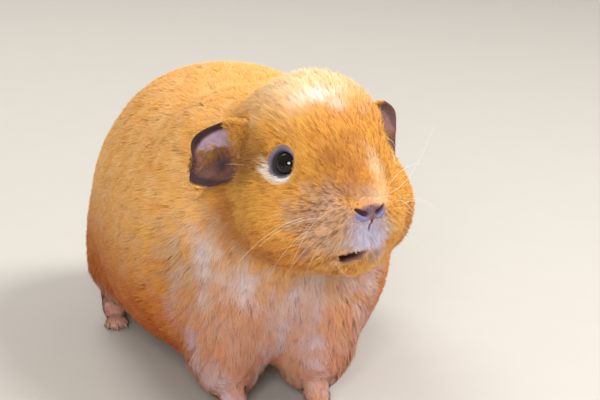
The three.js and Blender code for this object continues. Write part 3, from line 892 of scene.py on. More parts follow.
def skin_tones(points):
    """Ear, nose, mouth and bare-foot shares of the skin; the mouth share also paints shade in the nostrils and
    along the lip's groove.
    """
    place = in_face(points)
    leather = blob(place + (0, 0, 0.3), NOSE, (7.0, 9, 3.3), 0.25)
    leather *= ramp(place[:, 1], NOSE[1] - 6, NOSE[1] - 3)
    inside = inside_mouth(place)
    # painted shade along the lip's groove
    split = 0.9 * (1 - ramp(groove_away(place), 0.3, 0.75))
    mouth = np.max([ramp(inside, -0.1, 0.5), nostril_share(place), split], axis=0)
    lips = 0.7 * ramp(inside, -1.2, -0.6)
    return np.stack([ear_share(points), np.maximum(leather, lips), mouth, foot_share(points)], axis=1)


def lid_edge(points, side):
    """How far each point lies outside the gap between the lids."""
    sizes = bpy.context.scene.guinea_face
    from_eye = points - np.array(EYEBALLS[side])
    axis = np.array(EYE_AXES[side])
    height = from_eye @ axis
    radius = lengths(from_eye - height[:, None] * axis)
    return np.where((height > 0) & (lengths(from_eye) < 9 * MM), radius - sizes.lid_opening, 1)


def behind_eye(points, side):
    """0 in front of an eye, 1 behind it."""
    away = in_face(points) - in_face(np.array([EYEBALLS[side]]))
    flat = np.hypot(away[:, 1], away[:, 2])
    return ramp((0.25 * away[:, 2] - away[:, 1]) / np.maximum(flat, 0.1), -0.8, 0.8)


NOSE_PAD = ((4.3, -2.2), (2.5, 2.0))  # out and up from the nose's middle, and half-widths
# painted light: how much of each upper hollow is painted pale as lit, full on the right ear and a fifth on the
# left; it also sets how full each rim is drawn
EAR_LIGHT = (1, 0.2)  # how pale the hollow of the right and of the left ear is


def skin_shades(points):
    """Lid, ear-rim, ear-hollow and nose-pad shares of the skin; the ear-rim share also paints shade in the
    canal and on the lower lobe, and the ear-hollow share paints light on the upper hollow.
    """
    sizes = bpy.context.scene.guinea_face
    place = in_face(points)
    from_nose = np.stack([np.abs(place[:, 0] - NOSE[0]), place[:, 2] - NOSE[2]], axis=1)
    pads = blob(from_nose, *NOSE_PAD, 0.5) * ramp(place[:, 1], 18, 21) * (1 - nostril_share(place))
    lids, rim, hollow = np.zeros((3, len(points)))
    for side in SIDES:
        edge = lid_edge(points, side)
        width = sizes.lid_width * (1.1 + 1.2 * behind_eye(points, side))
        lids = np.maximum(lids, 1 - np.clip(edge / (width * 1.2), 0, 1))
    for (out, rise, height), shown in zip(ear_places(points), EAR_LIGHT):
        spread = np.hypot(out, rise)
        near = (spread < 1.6) & (np.abs(height) < 9 * MM)
        # painted shade in the canal's recess
        canal = canal_share(out, rise)
        # painted shade on the lower lobe, which the head shades
        lobe = 0.55 * ramp(-rise, 0.05, 0.5)
        band = 0.2 * ramp(rise, 0.1, 0.6)  # the rim is broadest along the top
        edge = ramp(spread, 0.84 - band, 0.96 - band)
        rim = np.max([rim, edge * near * (0.4 + 0.6 * shown), canal * near, lobe * near], axis=0)
        # painted light on the upper hollow, fullest on the right ear
        upper_part = 1 - ramp(np.hypot((out - 0.42) / 0.5, (rise - 0.38) / 0.45), 0.6, 1.2)
        hollow = np.maximum(hollow, shown * near * upper_part)
    return np.stack([lids, rim, hollow, pads], axis=1)


def build_skin():
    """The one skin under the coat."""
    sizes = bpy.context.scene.guinea_skin
    body = rough_body(sizes.rough_grain)
    fill_neck(body)
    draw_in(body)
    add_feet_and_nose(body, sizes.fine_grain)
    split_finely(body, near_features)
    split_finely(body, near_lids)
    points, normals = places(body.data), outward(body.data)
    for side in SIDES:
        points = shape_lids(points, normals, side)
    points = shape_mouth(shape_nose(shape_cheeks(points)))
    points[:, 2] = np.maximum(points[:, 2], 0.02 * MM)
    move_vertices(body.data, points)
    return body


# ---------------------------------------------------------------- materials
MIX_COLOURS = {"data_type": "RGBA"}


def add_node(tree, kind, settings=None, **links):
    """Adds one node: settings are its own values, links are values or sockets for its inputs."""
    node = tree.nodes.new(kind)
    for name, value in (settings or {}).items():
        setattr(node, name, value)
    for name, value in links.items():
        socket = node.inputs[int(name[1:])] if name[0] == "i" and name[1:].isdigit() else node.inputs[name]
        if isinstance(value, bpy.types.NodeSocket):
            tree.links.new(value, socket)
        else:
            socket.default_value = value
    return node


def new_material(name):
    """An empty material with its output and one principled shader."""
    material = bpy.data.materials.new(name)
    material.use_nodes = True
    tree = material.node_tree
    tree.nodes.clear()
    shader = add_node(tree, "ShaderNodeBsdfPrincipled")
    output = add_node(tree, "ShaderNodeOutputMaterial")
    tree.links.new(shader.outputs[0], output.inputs[0])
    return material, tree, shader


def read_shares(tree, attribute_name):
    """The four numbers of a colour attribute, as sockets."""
    attribute = add_node(tree, "ShaderNodeAttribute", {"attribute_name": attribute_name})
    parts = add_node(tree, "ShaderNodeSeparateColor", Color=attribute.outputs["Color"])
    return *parts.outputs, attribute.outputs["Alpha"]


def lay_over(tree, base, layers):
    """Paints each of some (share, colour) layers over a colour, in their order."""
    for share, colour in layers:
        base = add_node(tree, "ShaderNodeMix", MIX_COLOURS, i0=share, i6=base, i7=colour).outputs[2]
    return base


def with_marks(tree, base):
    """The coat's markings over its ground colour."""
    colours = bpy.context.scene.guinea_colours
    for attribute_name, names in MARKS.items():
        paints = [linear(getattr(colours, name)) for name in names]
        base = lay_over(tree, base, zip(read_shares(tree, attribute_name), paints))
    return base


def skin_material():
    """Living skin: thin and moist where it is bare, as on the brown ears, the satin nose and the pink feet.

    Under the coat it has the coat's own colours, so that no gap between hairs shows."""
    colours = bpy.context.scene.guinea_colours
    material, tree, shader = new_material("living skin")
    ear, nose, mouth, foot = read_shares(tree, "tones")
    lid, rim, hollow, pad = read_shares(tree, "shades")
    # the pale hollow is painted light, and the rim share holds painted shade in the canal and on the lobe
    in_ear = [(hollow, linear(colours.lit_ear_hollow)), (rim, linear(colours.ear_rim))]
    bare = [
        (ear, lay_over(tree, linear(colours.ear), in_ear)),
        (add_node(tree, "ShaderNodeMapRange", i0=lid, i1=0.0, i2=0.2).outputs[0], linear(colours.lid)),
        (add_node(tree, "ShaderNodeMapRange", i0=lid, i1=0.4, i2=0.9).outputs[0], linear(colours.lid_edge)),
        (nose, linear(colours.nose)),
        (pad, linear(colours.pad)),
        (mouth, linear(colours.mouth)),
        (foot, linear(colours.flesh)),
    ]
    base = lay_over(tree, with_marks(tree, linear(colours.ginger)), bare)
    place = add_node(tree, "ShaderNodeTexCoord").outputs["Object"]
    # blotches a few millimetres wide, as blood shows through thin skin
    blotch = add_node(tree, "ShaderNodeTexNoise", Vector=place, Scale=300.0, Detail=4.0).outputs[0]
    light = add_node(tree, "ShaderNodeMapRange", i0=blotch, i1=0.35, i2=0.65, i3=0.82, i4=1.12).outputs[0]
    shaded = add_node(tree, "ShaderNodeHueSaturation", Value=light, Color=base)
    tree.links.new(shaded.outputs[0], shader.inputs["Base Color"])
    moist = add_node(tree, "ShaderNodeMath", {"operation": "MAXIMUM"}, i0=nose, i1=mouth).outputs[0]
    gloss = add_node(tree, "ShaderNodeMapRange", i0=moist, i3=0.7, i4=0.4).outputs[0]
    tree.links.new(gloss, shader.inputs["Roughness"])
    # pores, drawn about half a millimetre apart, coarser than real ones, so that they show
    grain = add_node(tree, "ShaderNodeTexVoronoi", Vector=place, Scale=1800.0).outputs[0]
    bump = add_node(tree, "ShaderNodeBump", Strength=0.35, Distance=0.0004, Height=grain)
    tree.links.new(bump.outputs[0], shader.inputs["Normal"])
    shader.inputs["Specular IOR Level"].default_value = 0.3
    return material


def coat_material():
    """Short soft hair: each is deeper at its root and golden at its tip, and the locks differ a little. The
    deeper roots are partly painted shade in the clefts, and the golden tips partly painted light.
    """
    colours = bpy.context.scene.guinea_colours
    material, tree, shader = new_material("short ginger hair")
    along, lock, hair, _ = read_shares(tree, "strand")
    out_of_root = add_node(tree, "ShaderNodeMapRange", i0=along, i1=0.0, i2=0.35).outputs[0]
    into_tip = add_node(tree, "ShaderNodeMapRange", i0=along, i1=0.35, i2=1.0).outputs[0]
    grown = [(out_of_root, linear(colours.ginger)), (into_tip, linear(colours.tip))]
    base = with_marks(tree, lay_over(tree, linear(colours.root), grown))
    light = add_node(tree, "ShaderNodeMapRange", i0=hair, i3=0.88, i4=1.12).outputs[0]
    # darker towards the root and brighter at the tip: partly painted shade in the clefts and painted light on
    # the tips
    paler = add_node(tree, "ShaderNodeMapRange", i0=along, i2=0.8, i3=0.78, i4=1.05).outputs[0]
    light = add_node(tree, "ShaderNodeMath", {"operation": "MULTIPLY"}, i0=light, i1=paler).outputs[0]
    hue = add_node(tree, "ShaderNodeMapRange", i0=lock, i3=0.492, i4=0.506).outputs[0]
    varied = add_node(tree, "ShaderNodeHueSaturation", Hue=hue, Value=light, Color=base)
    tree.links.new(varied.outputs[0], shader.inputs["Base Color"])
    shader.inputs["Roughness"].default_value = 0.6
    shader.inputs["Specular IOR Level"].default_value = 0.22
    return material


def eye_material():
    """A wet eyeball: black brown, with a clear gloss that takes the lamps as sharp lights."""
    colours = bpy.context.scene.guinea_colours
    material, tree, shader = new_material("wet eye")
    place = add_node(tree, "ShaderNodeTexCoord").outputs["Object"]
    # the iris's fibres, about a millimetre apart
    fibres = add_node(tree, "ShaderNodeTexNoise", Vector=place, Scale=900.0).outputs[0]
    share = add_node(tree, "ShaderNodeMapRange", i0=fibres, i1=0.4, i2=0.8, i3=0.0, i4=0.5).outputs[0]
    base = lay_over(tree, linear(colours.eye), [(share, linear(colours.iris))])
    tree.links.new(base, shader.inputs["Base Color"])
    shader.inputs["Roughness"].default_value = 0.04
    shader.inputs["IOR"].default_value = 1.376
    shader.inputs["Specular IOR Level"].default_value = 0.55
    return material


def claw_material():
    """Horn: smooth, and paler in streaks along its length."""
    colours = bpy.context.scene.guinea_colours
    material, tree, shader = new_material("claw horn")
    place = add_node(tree, "ShaderNodeTexCoord").outputs["Object"]
    streaks = add_node(tree, "ShaderNodeTexNoise", Vector=place, Scale=700.0, Detail=3.0).outputs[0]
    base = lay_over(tree, linear(colours.claw), [(streaks, linear(colours.claw_streak))])
    tree.links.new(base, shader.inputs["Base Color"])
    shader.inputs["Roughness"].default_value = 0.35
    return material


def whisker_material():
    """Stiff whisker hair: pale and a little glossy, darker at the root."""
    colours = bpy.context.scene.guinea_colours
    material, tree, shader = new_material("whisker hair")
    along = read_shares(tree, "strand")[0]
    share = add_node(tree, "ShaderNodeMapRange", i0=along, i1=0.0, i2=0.25).outputs[0]
    base = lay_over(tree, linear(colours.whisker_root), [(share, linear(colours.whisker))])
    tree.links.new(base, shader.inputs["Base Color"])
    shader.inputs["Roughness"].default_value = 0.4
    return material


def floor_material():
    """Matt painted board: pale, with hardly any grain, so that it throws a plain soft light back."""
    colours = bpy.context.scene.guinea_colours
    material, tree, shader = new_material("matt pale board")
    place = add_node(tree, "ShaderNodeTexCoord").outputs["Object"]
    grain = add_node(tree, "ShaderNodeTexNoise", Vector=place, Scale=40.0, Detail=5.0).outputs[0]
    pale = linear(colours.floor)
    dusty = [part * 0.96 for part in pale[:3]] + [1.0]
    tree.links.new(lay_over(tree, pale, [(grain, dusty)]), shader.inputs["Base Color"])
    shader.inputs["Roughness"].default_value = 0.8
    return material


# ---------------------------------------------------------------- coat
ROOM = 14 * MM  # how far the grid of distances reaches past the solids


class Surroundings:
    """The height of any point over the skin, and the way out, read from a grid of distances.

    A coarse grid is measured first, and the fine one only near the skin."""

    def __init__(self, mesh, cell):
        self.cell = cell
        self.low = np.array(CAD_BOX[0]) - ROOM
        high = np.array(CAD_BOX[1]) + ROOM
        self.shape = np.ceil((high - self.low) / cell).astype(int) + 1
        shape = bmesh.new()
        shape.from_mesh(mesh)
        tree = BVHTree.FromBMesh(shape)
        shape.free()
        coarse = 4
        rough = self.grid_places(coarse)
        rough_heights = self.measure(tree, rough.reshape(-1, 3)).reshape(rough.shape[:3])
        heights = rough_heights.repeat(coarse, 0).repeat(coarse, 1).repeat(coarse, 2)
        heights = heights[: self.shape[0], : self.shape[1], : self.shape[2]].copy()
        reach = coarse * cell * 1.8
        close = (heights > -reach) & (heights < 20 * MM + reach)
        fine = self.grid_places(1)[: self.shape[0], : self.shape[1], : self.shape[2]]
        heights[close] = self.measure(tree, fine[close])
        slopes = np.stack(np.gradient(heights, cell), axis=-1)
        self.values = np.concatenate([heights[..., None], slopes], axis=-1)

    def grid_places(self, step):
        """The grid's corners, or every few of them."""
        counts = [math.ceil(n / step) for n in self.shape]
        lines = [self.low[i] + (np.arange(counts[i]) * step + (step - 1) / 2) * self.cell for i in range(3)]
        return np.stack(np.meshgrid(*lines, indexing="ij"), axis=-1)

    @staticmethod
    def measure(tree, points):
        """How far each point lies outside the skin, below 0 inside it."""
        heights = np.empty(len(points))
        for index, point in enumerate(points):
            found, normal, _, away = tree.find_nearest(point)
            heights[index] = math.copysign(away, normal.dot(Vector(point) - found))
        return heights

    def at(self, points):
        """Heights, and unit vectors away from the skin."""
        place = np.clip((points - self.low) / self.cell, 0, self.shape - 1.001)
        cell = place.astype(int)
        part = place - cell
        total = np.zeros((len(points), 4))
        for corner in itertools.product((0, 1), repeat=3):
            weight = np.prod(np.where(corner, part, 1 - part), axis=1)
            i, j, k = (cell + corner).T
            total += weight[:, None] * self.values[i, j, k]
        return total[:, 0], unit(total[:, 1:])


def hair_direction(points, normals):
    """The way the coat lies: back from the nose over the head, back and down the body, down the chest."""
    place = in_face(points)
    nose_tip = np.array(from_face(NOSE[0], NOSE[1] - 3, NOSE[2] + 1))
    behind = ramp(-place[:, 1], -8, 25)[:, None]
    head = unit(unit(points - nose_tip) + behind * np.array([0, 0.5, -0.5]))
    for eye in EYEBALLS.values():
        away = unit(points - np.array(eye))
        near = np.exp(-((lengths(points - np.array(eye)) / (11 * MM)) ** 4))
        towards = np.minimum(np.einsum("ij,ij->i", head, away), 0)
        head = head - away * ((towards - 0.35) * near)[:, None]
    side = np.clip(np.abs(points[:, 0]) / (TRUNK_HIGH[0] * 0.9), 0, 1)
    rump = ramp(points[:, 1], TRUNK_HIGH[1] - 45 * MM, TRUNK_HIGH[1])
    outwards = 0.8 * points[:, 0] / (65 * MM)
    trunk = np.stack([outwards, np.ones(len(points)), -0.55 * side - 1.1 * rump], axis=1)
    chest = np.array([0, 0.15, -1.0]) + points * (5, 0, 0)
    leg = np.array([0, 0.12, -1.0])
    foot = np.array([0, -1.0, -0.15])
    blend = chest_share(points)[:, None]
    flow = unit(trunk) * (1 - blend) + unit(chest) * blend
    blend = leg_share(points)[:, None]
    flow = flow * (1 - blend) + leg * blend
    blend = foot_share(points)[:, None]
    flow = flow * (1 - blend) + foot * blend
    blend = head_share(points)[:, None]
    flow = flow * (1 - blend) + unit(head) * blend
    flow = flow - normals * np.einsum("ij,ij->i", flow, normals)[:, None]
    return unit(flow)


BESIDE_EAR = ((0.1, 0.1, 3), (1.25, 1.5, 9))  # out and up in shares of the ear, and in mm before it


def trim(points):
    """How much of its length the hair keeps beside the ears."""
    kept = np.ones(len(points))
    for out, rise, height in ear_places(points):
        beside = blob(np.stack([out, rise, height / MM], axis=1), *BESIDE_EAR, 0.4)
        kept = np.minimum(kept, 1 - 0.85 * beside)
    return kept


def most_length(points):
    """The length that keeps a hair's tip off the eyes, the open mouth and the nose."""
    place = in_face(points)
    by_mouth = 0.1 * MM - 0.7 * inside_mouth(place) * MM
    by_nose = 0.8 * MM + (lengths((place - NOSE) / (8, 9, 4.5)) - 1) * 5 * MM
    room = np.minimum(by_mouth, by_nose)
    for eye in EYEBALLS.values():
        room = np.minimum(room, 0.7 * MM + 0.75 * (lengths(points - np.array(eye)) - 6 * MM))
    return np.maximum(room, 0.45 * MM)


def hair_strip(steps):
    """One hair: a flat strip that narrows to a point, as vertices of side, length and step, and its faces."""
    strip = bmesh.new()
    bmesh.ops.create_grid(strip, x_segments=1, y_segments=steps, size=1)
    ends = [vertex for vertex in strip.verts if vertex.co.y > 0.99]
    bmesh.ops.pointmerge(strip, verts=ends, merge_co=(0, 1, 0))
    strip.verts.index_update()
    side = np.array([vertex.co.x for vertex in strip.verts])
    along = np.array([(vertex.co.y + 1) / 2 for vertex in strip.verts])
    faces = [[vertex.index for vertex in face.verts] for face in strip.faces]
    strip.free()
    return side, along, faces


def bare_share(points):
    """1 where no hair grows: eyes, lids, nose, mouth and soles."""
    place = in_face(points)
    bare = blob(place + (0, 0, 0.2), NOSE, (7.4, 9, 3.4), 0.1)
    bare = np.maximum(bare, 1 - ramp(groove_away(place), 0.65, 0.95))
    bare = np.maximum(bare, ramp(inside_mouth(place), -1.2, -0.8))
    for side, eye in EYEBALLS.items():
        reach = (6.6 + 1.2 * behind_eye(points, side)) * MM
        bare = np.maximum(bare, 1 - ramp(lengths(points - np.array(eye)), reach, reach + 0.6 * MM))
    low = points[:, 2] < 1.2 * MM
    return np.where(low, 1, bare)


class Growth:
    """Where hair may grow: the skin's triangles, ready to take random roots."""

    def __init__(self, mesh):
        mesh.calc_loop_triangles()
        corners = np.empty(len(mesh.loop_triangles) * 3, np.int32)
        mesh.loop_triangles.foreach_get("vertices", corners)
        self.corners = corners.reshape(-1, 3)
        self.points = places(mesh)
        a, b, c = (self.points[self.corners[:, i]] for i in range(3))
        self.middles = (a + b + c) / 3
        self.areas = lengths(np.cross(b - a, c - a)) / 2 / MM**2

    def roots(self, density, rng):
        """Random roots, with density(points) of them on each square millimetre."""
        wanted = self.areas * density(self.middles)
        total = rng.poisson(wanted.sum())
        ends = np.cumsum(wanted)
        picked = np.searchsorted(ends, rng.uniform(0, ends[-1], total))
        picked = np.minimum(picked, len(self.corners) - 1)
        weights = rng.dirichlet((1, 1, 1), total)
        corners = self.corners[picked]
        return np.einsum("ij,ijk->ik", weights, self.points[corners])


def lock_lines(surroundings, roots, rng, plan):
    """Each lock's middle line, with the ways across, along and out at its steps, its length and its rise."""
    sizes = bpy.context.scene.guinea_coat
    count = len(roots)
    depth = coat_depth(roots)
    length = np.clip(depth * sizes.slope * plan["longer"], sizes.shortest, sizes.longest)
    length *= trim(roots) * (1 + 0.2 * wander(roots, 9 * MM, plan["seed"] + 1) + rng.normal(0, 0.08, count))
    start, normal = surroundings.at(roots)
    turn = plan["stray"] * (0.6 * wander(roots, 7 * MM, plan["seed"] + 2) + rng.normal(0, 0.5, count))
    length = np.minimum(length, most_length(roots))
    rise = np.minimum(depth * plan["lift"], 0.4 * length) * (1 + rng.normal(0, plan["ruffle"], count))
    centre, across, along, outs = [roots], [], [], []
    for step in range(STEPS_OF_HAIR + 1):
        lie = hair_direction(centre[-1], normal)
        lie = unit(lie + np.cross(lie, normal) * turn[:, None])
        across.append(unit(np.cross(lie, normal)))
        along.append(lie)
        outs.append(normal)
        if step < STEPS_OF_HAIR:
            part = (step + 1) / STEPS_OF_HAIR
            here = centre[-1] + lie * (length / STEPS_OF_HAIR)[:, None]
            height, normal = surroundings.at(here)
            wanted = start + rise * (1 - (1 - part) ** 1.7)
            centre.append(here + normal * (wanted - height)[:, None])
    return *(np.stack(part, axis=1) for part in (centre, across, along, outs)), length, rise


def grow_hairs(surroundings, roots, rng, plan):
    """The path, side, facing, width and two random shades of every hair, lock by lock.

    Each lock follows the skin from its root. Its hairs start around the root and draw together towards
    the tip."""
    centre, across, along, outs, length, rise = lock_lines(surroundings, roots, rng, plan)
    count, hairs = len(roots), plan["hairs"]
    stations = STEPS_OF_HAIR + 1
    part = np.linspace(0, 1, stations)[None, None, :]
    scatter = plan["spread"] * MM * np.sqrt(hairs / (math.pi * plan["density"](roots)))

    def uneven(amount):
        return rng.normal(0, amount, (count, hairs))

    def hair_by_hair(vectors):
        one_by_one = np.broadcast_to(vectors, (count, hairs, stations, 3)).copy()
        return one_by_one.reshape(count * hairs, stations, 3)

    angle = rng.uniform(0, 2 * math.pi, (count, hairs))
    away = np.sqrt(rng.uniform(0, 1, (count, hairs))) * scatter[:, None]
    close = 1 - plan["gather"] * part**1.3
    reach = uneven(0.16)[..., None] * part * length[:, None, None]
    fan = uneven(plan["fan"])[..., None] * part**1.5 * length[:, None, None]
    lift = uneven(plan["ruffle"])[..., None] * part * rise[:, None, None]
    sideways = (away * np.cos(angle))[..., None] * close + fan
    lengthways = (away * np.sin(angle))[..., None] * close + reach
    path = centre[:, None] + across[:, None] * sideways[..., None]
    path = hair_by_hair(path + along[:, None] * lengthways[..., None] + outs[:, None] * lift[..., None])
    path[..., 2] = np.maximum(path[..., 2], FLOOR_CLEARANCE)
    roll = uneven(0.45)[..., None, None]
    side = hair_by_hair(across[:, None] * np.cos(roll) + outs[:, None] * np.sin(roll))
    soft = roll * 0.4  # the shading turns less than the strip does, as on fine hair
    facing = hair_by_hair(outs[:, None] * np.cos(soft) - across[:, None] * np.sin(soft))
    width = plan["width"](roots)[:, None] * (1 + uneven(0.15))
    of_locks = np.repeat(rng.uniform(0, 1, count), hairs)
    shades = np.stack([of_locks, rng.uniform(0, 1, count * hairs)], axis=1)
    return path, side, facing, width.ravel(), shades


def around_head(points):
    """An unwrap of the head as a globe with its axis through the ears."""
    place = in_face(points) - HEAD_MIDDLE
    turn = np.arctan2(place[:, 1], place[:, 2])
    tilt = np.arctan2(place[:, 0], np.hypot(place[:, 1], place[:, 2]))
    return np.stack([turn / (2 * math.pi) + 0.5, tilt / math.pi + 0.5], axis=1)


def around_trunk(points):
    """An unwrap of the trunk as a drum with its axis from front to rear."""
    place = points - TRUNK_MIDDLE
    turn = np.arctan2(place[:, 0], place[:, 2])
    along = (points[:, 1] - CAD_BOX[0][1]) / (CAD_BOX[1][1] - CAD_BOX[0][1])
    return np.stack([turn / (2 * math.pi) + 0.5, np.clip(along, 0, 1)], axis=1)


def around_legs(points):
    """An unwrap of the four legs, each a drum with an upright axis in its own quarter of the map."""
    unwrapped = np.zeros((len(points), 2))
    nearest = np.full(len(points), 1e9)
    for index, foot in enumerate(FEET):
        centre = np.array(middle(foot))
        flat = points[:, :2] - centre[:2]
        away = lengths(flat)
        turn = np.arctan2(flat[:, 1], flat[:, 0]) / (2 * math.pi) + 0.5
        up = np.clip(points[:, 2] / (60 * MM), 0, 1)
        own = np.stack([(turn * 0.94 + 0.03 + index % 2) / 2, (up * 0.94 + 0.03 + index // 2) / 2], axis=1)
        closer = away < nearest
        unwrapped[closer] = own[closer]
        nearest[closer] = away[closer]
    return unwrapped


def joined_strips(name, points, strip_faces):
    """One mesh of many copies of a strip, from each copy's places, and the vertex at each face corner."""
    copies, strip_size = points.shape[:2]
    corners = np.array(list(itertools.chain(*strip_faces)))
    loops = (np.arange(copies)[:, None] * strip_size + corners).ravel()
    sizes = np.tile([len(face) for face in strip_faces], copies)
    mesh = bpy.data.meshes.new(name)
    mesh.vertices.add(copies * strip_size)
    mesh.vertices.foreach_set("co", points.ravel())
    mesh.loops.add(len(loops))
    mesh.loops.foreach_set("vertex_index", loops.astype(np.int32))
    mesh.polygons.add(len(sizes))
    mesh.polygons.foreach_set("loop_start", (np.cumsum(sizes) - sizes).astype(np.int32))
    mesh.polygons.foreach_set("use_smooth", np.ones(len(sizes), bool))
    mesh.update(calc_edges=True)
    mesh.validate()
    return mesh, loops


STRIP_WIDTHS = ((0, 0.25, 0.7, 1), (0.75, 1, 0.8, 0.0))  # shares of a hair's length, and of its width there
DARK_LOCKS = 0.27  # the share of the locks on the face that are dark
BAKE_PATCH = 0.003  # the size of one hair on the map for baking


def coat_marks(roots, shades):
    """The markings at the hairs' roots, with some dark locks on the face."""
    shares = marks(roots)
    streaked = np.minimum(1.5 * muzzle_share(in_face(roots)) + 0.35 * head_share(roots), 1)
    streak = 0.8 * (shades[:, 0] < DARK_LOCKS) * streaked
    shares[:, BROWN] = np.maximum(shares[:, BROWN], streak)
    return shares


def coat_piece(name, path, side, facing, width, shades, unwrap):
    """Makes one piece of coat from the paths of its hairs, all copies of one strip."""
    hairs, stations = path.shape[:2]
    strip_side, strip_along, strip_faces = hair_strip(stations - 1)
    station = np.rint(strip_along * (stations - 1)).astype(int)
    half = strip_side * np.interp(strip_along, *STRIP_WIDTHS) / 2
    points = path[:, station] + side[:, station] * half[None, :, None] * width[:, None, None]
    points[..., 2] = np.maximum(points[..., 2], FLOOR_CLEARANCE)
    mesh, loops = joined_strips(name, points, strip_faces)
    shading = mesh.attributes.new("custom_normal", "FLOAT_VECTOR", "POINT")
    shading.data.foreach_set("vector", facing[:, station].astype(np.float32).ravel())

    roots = path[:, 0]
    add_marks(mesh, np.repeat(coat_marks(roots, shades), len(strip_side), axis=0))
    along = np.tile(strip_along, hairs)[:, None]
    add_attribute(mesh, "strand", np.hstack([along, np.repeat(shades, len(strip_side), axis=0)]))
    own = np.stack([strip_side / 2, strip_along - 0.5], axis=1) * BAKE_PATCH
    flat = np.clip(unwrap(roots), BAKE_PATCH, 1 - BAKE_PATCH)[:, None] + own
    layer = mesh.uv_layers.new(name="OFBake")
    layer.data.foreach_set("uv", flat.reshape(-1, 2)[loops].ravel())
    piece = bpy.data.objects.new(name, mesh)
    bpy.context.scene.collection.objects.link(piece)
    return piece


MOST_TRIANGLES = 196_000  # in one piece of coat
STEPS_OF_HAIR = 2  # straight lengths in one hair
FACE_STATIONS = (-30, 0, 18, 27)  # mm forward, from the nape to beside the nose

# How the locks of each part of the coat lie:
# hairs     hairs in a lock
# gather    how far they draw together at the tip
# fan       how far their tips part, in lengths
# lift      how high the tips rise, in depths of the coat
# longer    how long they are, beside the common length
# stray     how far the locks turn from the lie of the coat
# spread    how wide the roots of a lock stand, beside an even cover
# ruffle    how uneven the tips' height is
LOCKS = {
    "head": dict(hairs=7, gather=0.3, fan=0.10, lift=0.95, longer=1.05, stray=0.2, spread=1.25, ruffle=0.2),
    "trunk": dict(hairs=10, gather=0.2, fan=0.07, lift=1.1, longer=1.3, stray=0.16, spread=2.1, ruffle=0.09),
    "chest": dict(hairs=22, gather=0.36, fan=0.08, lift=1.2, longer=1.25, stray=0.4, spread=1.7, ruffle=0.12),
    "legs": dict(hairs=10, gather=0.3, fan=0.06, lift=0.8, longer=0.9, stray=0.2, spread=1.5, ruffle=0.14),
    "ears": dict(hairs=5, gather=0.2, fan=0.15, lift=0.6, longer=1.1, stray=0.4, spread=1.0, ruffle=0.3),
}
CUT_AXES = {"head": 0, "trunk": 1, "chest": 1, "legs": 1, "ears": 0}  # each is cut into pieces along x or y


def head_coat(points):
    """1 where the head's coat grows."""
    return head_share(points) * (1 - ear_share(points))


def chest_coat(points):
    """1 where the chest's coat grows."""
    return chest_share(points) * (1 - head_share(points))


def leg_coat(points):
    """1 where the legs' coat grows."""
    return leg_share(points) * (1 - head_share(points)) * (1 - chest_share(points))


def trunk_coat(points):
    """1 where the trunk's coat grows, on all that the other parts leave."""
    return (1 - head_share(points) - chest_coat(points) - leg_coat(points)) * (1 - ear_share(points))


def ear_coat(points):
    """1 where the ears' tufts grow."""
    return tuft_share(points) * ear_share(points)


def face_density(points):
    """Hairs on each square millimetre of the head: densest beside the nose."""
    density = bpy.context.scene.guinea_coat.face_density
    return density * np.interp(in_face(points)[:, 1], FACE_STATIONS, (0.75, 1, 1.4, 2.2))


def face_width(points):
    """Width of the head's hairs: finest beside the nose."""
    width = bpy.context.scene.guinea_coat.face_width
    return width * np.interp(in_face(points)[:, 1], FACE_STATIONS, (1.4, 1.0, 0.75, 0.55))


def even(value):
    """A function that gives every point the same value."""
    return lambda points: np.full(len(points), value)


def coat_plans():
    """Where each part of the coat grows, how dense and wide its hair is, its unwrap and how it lies."""
    sizes = bpy.context.scene.guinea_coat
    density, width = sizes.body_density, sizes.body_width
    grounds = {
        "head": (head_coat, face_density, face_width, around_head),
        "trunk": (trunk_coat, even(density), even(width), around_trunk),
        "chest": (chest_coat, even(density * 1.6), even(width * 0.8), around_trunk),
        "legs": (leg_coat, even(density * 0.85), even(width * 0.8), around_legs),
        "ears": (ear_coat, even(sizes.ear_density), even(sizes.ear_width), around_head),
    }
    names = ("share", "density", "width", "unwrap")
    return {part: dict(zip(names, ground), **LOCKS[part]) for part, ground in grounds.items()}


def build_coat(skin):
    """Every piece of coat over the finished skin."""
    surroundings = Surroundings(skin.data, 3 * MM)
    growth = Growth(skin.data)
    pieces = []
    for number, (part, plan) in enumerate(coat_plans().items()):
        rng = np.random.default_rng(100 + number)
        plan["seed"] = 100 * number

        def lock_density(points, plan=plan):
            grown = np.clip(plan["share"](points), 0, 1) * plan["density"](points)
            return grown * (1 - bare_share(points)) / plan["hairs"]

        roots = growth.roots(lock_density, rng)
        roots = roots[np.argsort(roots[:, CUT_AXES[part]], kind="stable")]
        grown = grow_hairs(surroundings, roots, rng, plan)
        cuts = math.ceil(len(grown[0]) * (2 * STEPS_OF_HAIR - 1) / MOST_TRIANGLES)
        parts = [np.array_split(values, cuts) for values in grown]
        for index, values in enumerate(zip(*parts)):
            name = f"coat_{part}" if cuts == 1 else f"coat_{part}_{index + 1}"
            pieces.append(coat_piece(name, *values, plan["unwrap"]))
    return pieces


# ---------------------------------------------------------------- eyes, claws and whiskers
CORNEA_BULGE = 0.035  # in shares of the eye's radius


def build_eye(side):
    """A smooth eyeball with its pole outwards and a slight bulge there, as the cornea has."""
    ball = bmesh.new()
    bmesh.ops.create_uvsphere(ball, u_segments=64, v_segments=40, radius=EYE_RADIUS)
    for vertex in ball.verts:
        vertex.co *= 1 + CORNEA_BULGE * max(0.0, vertex.co.z / EYE_RADIUS) ** 6
    turn = EYE_AXES[side].to_track_quat("Z", "Y").to_matrix().to_4x4()
    ball.transform(Matrix.Translation(EYEBALLS[side]) @ turn)
    for face in ball.faces:
        face.smooth = True
    return new_piece(f"eyeball_{side}", ball)


